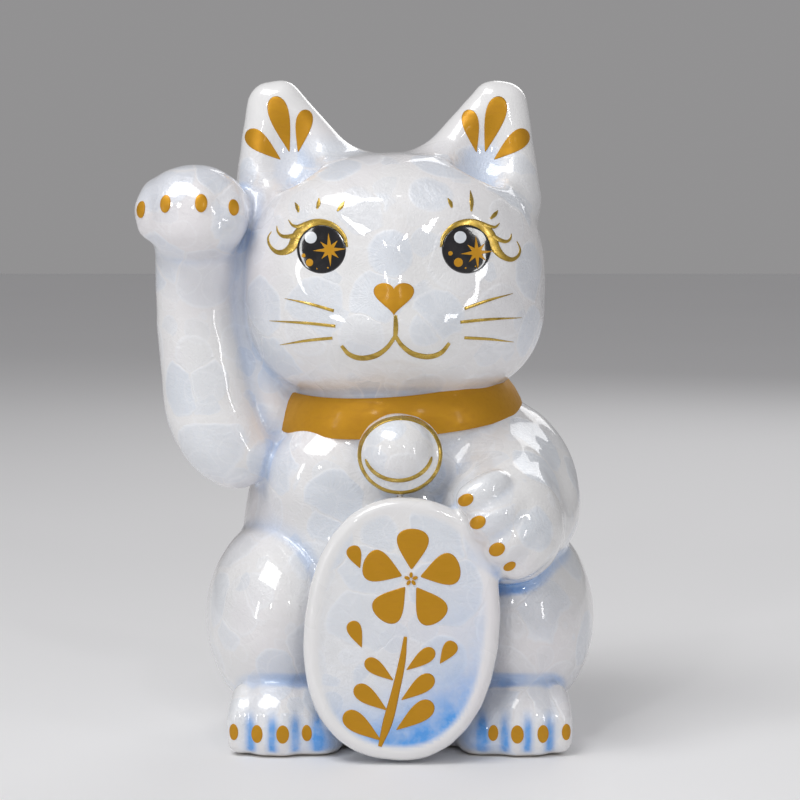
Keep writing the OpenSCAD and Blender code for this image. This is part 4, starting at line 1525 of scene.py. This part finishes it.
for side, name in SIDES:
    ticks = Marks(thick=0.18)
    for (x1, z1), (x0, z0) in TICKS[side]:
        ex, ez = eyes[side][0], eyes[side][2]
        bend = (ex + (x0 + x1) / 2 + 0.2, ez + (z0 + z1) / 2)
        ticks.stroke([(ex + x1, ez + z1), bend, (ex + x0, ez + z0)], [0.2, 1.15, 0.5])
    paint(f"{name}_brow_ticks", ticks, gold_lustre, "gold_enamel")
    whiskers = Marks(thick=0.18)
    for (x1, z1), (x0, z0) in WHISKERS[side]:
        bend = (nose[0] + (x0 + x1) / 2, nose[2] + (z0 + z1) / 2 + 0.25)
        whiskers.stroke([(nose[0] + x1, nose[2] + z1), bend, (nose[0] + x0, nose[2] + z0)],
                        [0.15, 0.75, 0.85])
    paint(f"{name}_whiskers", whiskers, gold_lustre, "gold_enamel")

# %% Nose
HEART = 5.35
heart = []
for k in range(48):
    t = 2 * math.pi * (k + 0.5) / 48
    lobe = 0.80 * math.cos(t) - 0.30 * math.cos(2 * t) - 0.10 * math.cos(3 * t) - 0.04 * math.cos(4 * t)
    heart.append((nose[0] + HEART * math.sin(t) ** 3, nose[2] + 1.15 + HEART * lobe * 0.92))
nose_marks = Marks(thick=0.3)
nose_marks.blob(heart)
paint("nose_heart", nose_marks, gold_enamel, "gold_enamel")

# %% Mouth
LIP_LINE = ((0, 5.4), (0.1, 2.6), (0, 0))
CURVES = (((0, 0), (-2.2, -3.2), (-5.2, -5.4), (-9.0, -6.2), (-12.2, -5.2), (-14.2, -2.9)),
          ((0, 0), (1.7, -2.6), (4.6, -4.9), (8.6, -5.8), (12.0, -4.8), (14.2, -2.2)))
fork = (nose[0] + 0.4, nose[2] - 9.2)
mouth = Marks(thick=0.24)
mouth.stroke([(fork[0] + dx, fork[1] + dz) for dx, dz in LIP_LINE], [0.9, 1.3, 1.2])
for curve in CURVES:
    mouth.stroke([(fork[0] + dx, fork[1] + dz) for dx, dz in curve], [1.0, 1.2, 1.5, 1.5, 1.3, 0.9])
paint("mouth_line", mouth, gold_lustre, "gold_enamel")

# %% [markdown]
# ### Spots and petals
#
# Each toe has one gold spot, pressed down with the side of a loaded brush, so it is taller than
# it is wide. The ears have three petals each, which meet near the inner corner of the ear.

# %% Ear petals
# Each petal is its round end, its point, both measured in from the ear's outer side and down
# from its tip, and its width.
PETALS = (((9.6, 4.6), (13.8, 19.8), 7.4), ((18.6, 8.2), (16.2, 19.9), 6.0), ((1.9, 14.2), (11.4, 21.9), 6.8))
for side, name in SIDES:
    outer, _, top = ear_box(side)
    petals = Marks(thick=0.24)
    for (a, b), (c, d), wide in PETALS:
        petals.blob(teardrop((outer - side * a, top - b), (outer - side * c, top - d), wide))
    paint(f"{name}_ear_petals", petals, gold_enamel, "gold_enamel")

# %% Claw spots
raised = middle("raised_paw")
raised_spots = Marks(thick=0.32)
for dx, down, wide, tall, turn, y in ((-11.6, 15.3, 2.9, 4.6, 42, -20), (-6.3, 13.7, 3.0, 4.8, 14, -26),
                                      (3.0, 13.5, 3.3, 4.9, 0, -27), (11.4, 14.7, 3.0, 4.4, -18, -25)):
    raised_spots.face_to(turn, (raised[0] + dx, y))
    raised_spots.blob(oval((raised[0] + dx, crown_z - down), wide, tall))
paint("raised_paw_claws", raised_spots, gold_enamel, "gold_enamel")

holding = Marks(thick=0.32)
for dx, dz, long, wide in ((-6.1, 9.9, 4.3, 3.0), (-3.0, 4.2, 4.4, 3.2),
                           (2.0, -2.9, 4.4, 3.4), (5.4, -7.7, 3.5, 2.3)):
    holding.blob(oval((paw[0] + dx, paw[2] + dz), long, wide, lean=-33))
paint("coin_paw_claws", holding, gold_enamel, "gold_enamel")

for side, name in SIDES:
    spots = Marks(thick=0.32)
    for away, tall, wide, turn in ((42.6, 4.4, 2.8, 34), (37.4, 4.8, 3.2, 12),
                                   (31.0, 4.9, 3.4, 0), (25.0, 4.2, 2.7, -14)):
        spots.face_to(-side * turn, (side * away, -44 + 0.12 * abs(turn)))
        spots.blob(oval((side * away, 6.7), wide, tall))
    paint(f"{name}_foot_claws", spots, gold_enamel, "gold_enamel")

# %% [markdown]
# ### Bell lines
#
# The bell is outlined by a gold ring, and a curved line low on its dome stands for the slot.

# %% Bell lines
def arc(centre, wide, tall, start, stop, n=48):
    """Points along part of an oval, from angle start to stop in degrees."""
    angles = np.radians(np.linspace(start, stop, n))
    return np.column_stack([centre[0] + wide / 2 * np.cos(angles), centre[1] + tall / 2 * np.sin(angles)])


ring = Marks(thick=0.34)
round_bell = arc((bell_mid[0], bell_mid[2] + BELL_UP), 2 * bell_half - 2.0, 1.84 * bell_half - 2.0,
                 90, 450, 60)
ring.stroke(round_bell, [0.95] * len(round_bell))
paint("bell_ring", ring, gold_lustre, "gold_enamel")
smile = Marks(thick=0.26)
low_arc = arc((dome_mid[0] + 0.4, dome_mid[2] - 0.6), 1.82 * dome_half, 1.42 * dome_half, 192, 352, 18)
smile.stroke(low_arc, [0.35] + [0.9, 1.0, 1.15] + [1.2] * 10 + [1.15, 1.0, 0.9] + [0.35])
paint("bell_line", smile, gold_lustre, "gold_enamel")

# %% [markdown]
# ### Blossom and sprig
#
# The face of the coin carries a plain five-petalled blossom over a leafy sprig. The petals and
# the stamens are each one mark repeated in a wheel, and the leaves on each side of the stem are
# one mark repeated up a ladder. The stem and the buds are drawn once.


# %% Blossom and sprig
def on_coin_face(across, up):
    """x and z of a point given in the coin's own frame."""
    return (coin_mid[0] + math.cos(COIN_TURN) * across + math.sin(COIN_TURN) * up,
            coin_mid[2] + math.cos(COIN_TURN) * up - math.sin(COIN_TURN) * across)


def repeated(marks, count, turn, climb, shrink, pivot):
    """One mark drawn at the origin, repeated by the tree from a pivot on the coin's face."""
    px, pz = on_coin_face(*pivot)
    cx, cz = np.array(on_coin_face(*climb)) - on_coin_face(0, 0)
    return bake_out(marks.mesh("stroke"), glaze_skin, gold_enamel, [{
        "Count": count, "Turn": math.radians(turn), "Climb": (cx * MM, 0, cz * MM),
        "Shrink": shrink, "Pivot": (px * MM, 0, pz * MM)}])


# %% Petals, stamens and leaves
BLOSSOM_AT = (1.0, 13.5)
petal = Marks(thick=0.26)
petal.blob(teardrop((0.6, 13.2), (0.1, 2.6), 11.0))
pieces = [repeated(petal, 5, 72, (0, 0), 0.0, BLOSSOM_AT)]
stamen = Marks(thick=0.34)
stamen.blob(oval((0.0, 1.1), 0.95, 1.5, n=14))
pieces.append(repeated(stamen, 5, 72, (0, 0), 0.0, BLOSSOM_AT))
for side in (-1, 1):
    leaf = Marks(thick=0.26)
    leaf.blob(teardrop((side * 11.0, 4.6), (side * 1.4, -2.4), 6.6))
    pieces.append(repeated(leaf, 3, 0, (0.7, 7.6), -0.12, (-0.9 + side * 0.5, -25.0 + side * 1.4)))
print("repeated marks:", len(pieces))

# %% Stem and buds
STEM = ((-2.6, -30.5), (-1.2, -24), (0.0, -16), (0.9, -8), (1.1, -1.5))
BUDS = (((-13.5, 1.0), (-10.0, -5.5)), ((14.0, -1.5), (10.8, -7.5)), ((-15.5, 20.5), (-12.6, 15.0)))
stem = Marks(thick=0.26)
stem.stroke([on_coin_face(*p) for p in STEM], [1.0, 2.6, 2.2, 1.8, 0.9])
for bud, point in BUDS:
    stem.blob(teardrop(on_coin_face(*bud), on_coin_face(*point), 5.0))
pieces.append(bake_out(stem.mesh("stem"), glaze_skin, gold_enamel))
blossom = pieces[0]
with bpy.context.temp_override(active_object=blossom, selected_editable_objects=pieces):
    bpy.ops.object.join()
finish(blossom, "coin_blossom_enamel", ["coin_blossom"])

# %% [markdown]
# ## Collar
#
# The collar is a flat clay band round the neck, gilded all over. It follows the neck as a mark
# follows the glaze, so the same tree lays it: a ring of points starts well outside, aims at the
# neck's axis, and lands on the bare neck that was kept before the head went on. The band tilts
# with the cat's neck, higher at the back and on the side of the lowered arm.

# %% Collar
COLLAR_ROLL, COLLAR_PITCH = math.radians(3.8), math.radians(4.6)
COLLAR_TURNS = 180
collar_low, collar_high = corners("collar")
COLLAR_MID = (collar_low[2] + collar_high[2]) / 2
COLLAR_TALL = 10.6
NECK_R = 32.5
BAND = [(-1.0, 0.2), (-0.97, 1.15), (-0.90, 1.55), (-0.5, 1.75), (0.0, 1.8), (0.5, 1.75),
        (0.90, 1.55), (0.97, 1.15), (1.0, 0.2), (0.9, -0.8), (0.0, -0.9), (-0.9, -0.8)]
band_places, band_lifts, band_aims, band_faces = [], [], [], []
for j in range(COLLAR_TURNS):
    a = 2 * math.pi * j / COLLAR_TURNS
    outward = np.array([math.cos(a), math.sin(a), 0])
    tilt = math.cos(a) * math.tan(COLLAR_ROLL) + math.sin(a) * math.tan(COLLAR_PITCH)
    mid = COLLAR_MID + NECK_R * tilt
    for share, lift in BAND:
        band_places.append(outward * THROW + [0, 0, mid + share * COLLAR_TALL / 2])
        band_lifts.append(lift)
        band_aims.append(-outward)
for j in range(COLLAR_TURNS):
    here, there = j * len(BAND), ((j + 1) % COLLAR_TURNS) * len(BAND)
    for k in range(len(BAND)):
        n = (k + 1) % len(BAND)
        band_faces.append([here + k, there + k, there + n, here + n])
band = bpy.data.meshes.new("band")
band.from_pydata((np.array(band_places) * MM).tolist(), [], band_faces)
add_mask(band, "lift", np.array(band_lifts) * MM)
add_vectors(band, "aim", np.array(band_aims))
collar = bake_out(band, neck_skin, gold_enamel)
finish(collar, "collar_band", ["collar"])

# %% [markdown]
# ## Underside
#
# A pressed clay disc closes the body, and a soft plug closes the hole through which the kiln's
# heat escaped. Both are turned shapes, so one function spins a profile about the upright axis.
# The plug is the one piece that moves: it pulls straight down out of its hole.


# %% Turned pieces
def turned(name, profile, closed, material, node, body, sides=96):
    """Spins a profile of [radius, height] in millimetres; closed joins its two ends."""
    mesh = bpy.data.meshes.new(name)
    places, rows, faces = [], [], []
    for radius, level in profile:
        start, count = len(places), 1 if radius == 0 else sides
        for k in range(count):
            a = 2 * math.pi * k / count
            places.append((radius * math.cos(a), radius * math.sin(a), level))
        rows.append([start + k % count for k in range(sides)])
    for a, b in zip(rows, rows[1:] + rows[:1] if closed else rows[1:]):
        for k in range(sides):
            j = (k + 1) % sides
            faces.append(list(dict.fromkeys([a[k], a[j], b[j], b[k]])))
    mesh.from_pydata((np.array(places) * MM).tolist(), [], faces)
    face_outward(mesh)
    mesh.set_sharp_from_angle(angle=math.radians(40))
    mesh.materials.append(material)
    finish(link(bpy.data.objects.new(name, mesh)), name, [node], body)


plug_low, plug_high = corners("stopper")
plug_r = (plug_high[0] - plug_low[0]) / 2
seat_low, seat_top = disc_low[2], disc_high[2]
PLAY = 0.05
hole_r = plug_r + PLAY
rim_r = disc_r - PLAY
turned("floor_disc_bisque", [
    (hole_r, seat_low + 0.6), (hole_r + 0.2, seat_low + 0.15), (hole_r + 0.8, seat_low),
    (hole_r + 3.0, seat_low + 0.05), (hole_r + 4.2, seat_low + 0.35), (rim_r - 5.0, seat_low + 0.45),
    (rim_r - 3.4, seat_low + 0.1), (rim_r - 0.9, seat_low), (rim_r - 0.25, seat_low + 0.2),
    (rim_r, seat_low + 0.8), (rim_r, seat_top - 0.5), (rim_r - 0.5, seat_top),
    (hole_r + 0.6, seat_top), (hole_r, seat_top - 0.6)],
    True, bisque, "floor_disc", "cat")
turned("stopper_plug", [
    (0, plug_low[2] + 0.25), (1.7, plug_low[2] + 0.3), (2.0, plug_low[2] + 0.5), (2.2, plug_low[2] + 1.1),
    (3.0, plug_low[2] + 1.4), (5.4, plug_low[2] + 1.4), (6.2, plug_low[2] + 1.1), (6.5, plug_low[2] + 0.4),
    (6.9, plug_low[2] + 0.1), (plug_r - 0.6, plug_low[2]), (plug_r - 0.15, plug_low[2] + 0.2),
    (plug_r, plug_low[2] + 0.7), (plug_r, seat_top + 0.6), (plug_r - 0.35, seat_top + 1.1),
    (plug_r - 0.35, seat_top + 1.8), (plug_r, seat_top + 2.3), (plug_r - 0.2, seat_top + 3.2),
    (plug_r - 1.6, plug_high[2] - 0.2), (plug_r - 2.4, plug_high[2]), (3.5, plug_high[2]),
    (3.1, plug_high[2] - 0.4), (2.8, seat_top), (0, seat_top - 0.2)],
    False, stopper_rubber, "stopper", "stopper")

# %% Glaze the castings
for name, piece in cast.items():
    piece.data.materials.append(crystal_glaze)
    finish(piece, name + "_casting", [name])
for helper_skin in (glaze_skin, neck_skin):
    bpy.data.objects.remove(helper_skin)

# %% [markdown]
# ## Studio
#
# White glaze on a pale ground needs soft light with edges in it: the shape of a glossy thing is
# read from the shapes that it mirrors. One broad soft box hangs above and to the left, two tall
# narrow ones stand at the sides and draw the long streaks, two small ones in front leave the
# bright points, and one behind lights the edges. The room itself is a plain pale grey.

# %% Floor
floor = bpy.data.meshes.new("floor")
floor.from_pydata([(-3, -3, 0), (3, -3, 0), (3, 3, 0), (-3, 3, 0)], [], [(0, 1, 2, 3)])
floor_object = link(bpy.data.objects.new("floor", floor))
paper, n, paper_shader, place = new_material("pale_paper", (0.85, 0.85, 0.87), Roughness=0.6)
shade = n.mix(n.noise(place, 3.0), (0.86, 0.86, 0.87, 1), (0.89, 0.89, 0.90, 1))
n.put(shade, paper_shader.inputs["Base Color"])
floor.materials.append(paper)
print("floor:", paper.name)


# %% Lights
def soft_box(name, place, wide, tall, power, target=(0, 0, 0.09)):
    """A rectangular light aimed at the cat; power is in watts."""
    light = bpy.data.lights.new(name, "AREA")
    light.energy = power
    light.shape = "RECTANGLE"
    light.size, light.size_y = wide, tall
    lamp = link(bpy.data.objects.new(name, light))
    lamp.location = place
    lamp.rotation_euler = (Vector(target) - Vector(place)).to_track_quat("-Z", "Y").to_euler()


soft_box("broad_above", (-0.35, -0.35, 0.95), 0.60, 0.40, 4.9)
soft_box("left_window", (-0.70, -0.50, 0.30), 0.06, 0.30, 0.6)
soft_box("right_window", (0.70, -0.55, 0.32), 0.06, 0.30, 0.6)
soft_box("left_point", (-0.35, -0.85, 0.55), 0.07, 0.10, 0.7)
soft_box("right_point", (0.30, -0.90, 0.60), 0.07, 0.10, 0.7)
soft_box("back_glow", (0.30, 0.80, 0.60), 0.50, 0.50, 1.5)
world = bpy.data.worlds.new("studio")
bpy.context.scene.world = world
world.use_nodes = True
world.node_tree.nodes["Background"].inputs[0].default_value = (0.76, 0.75, 0.76, 1)
world.node_tree.nodes["Background"].inputs[1].default_value = 0.38
print("lights:", [light.name for light in bpy.data.lights])
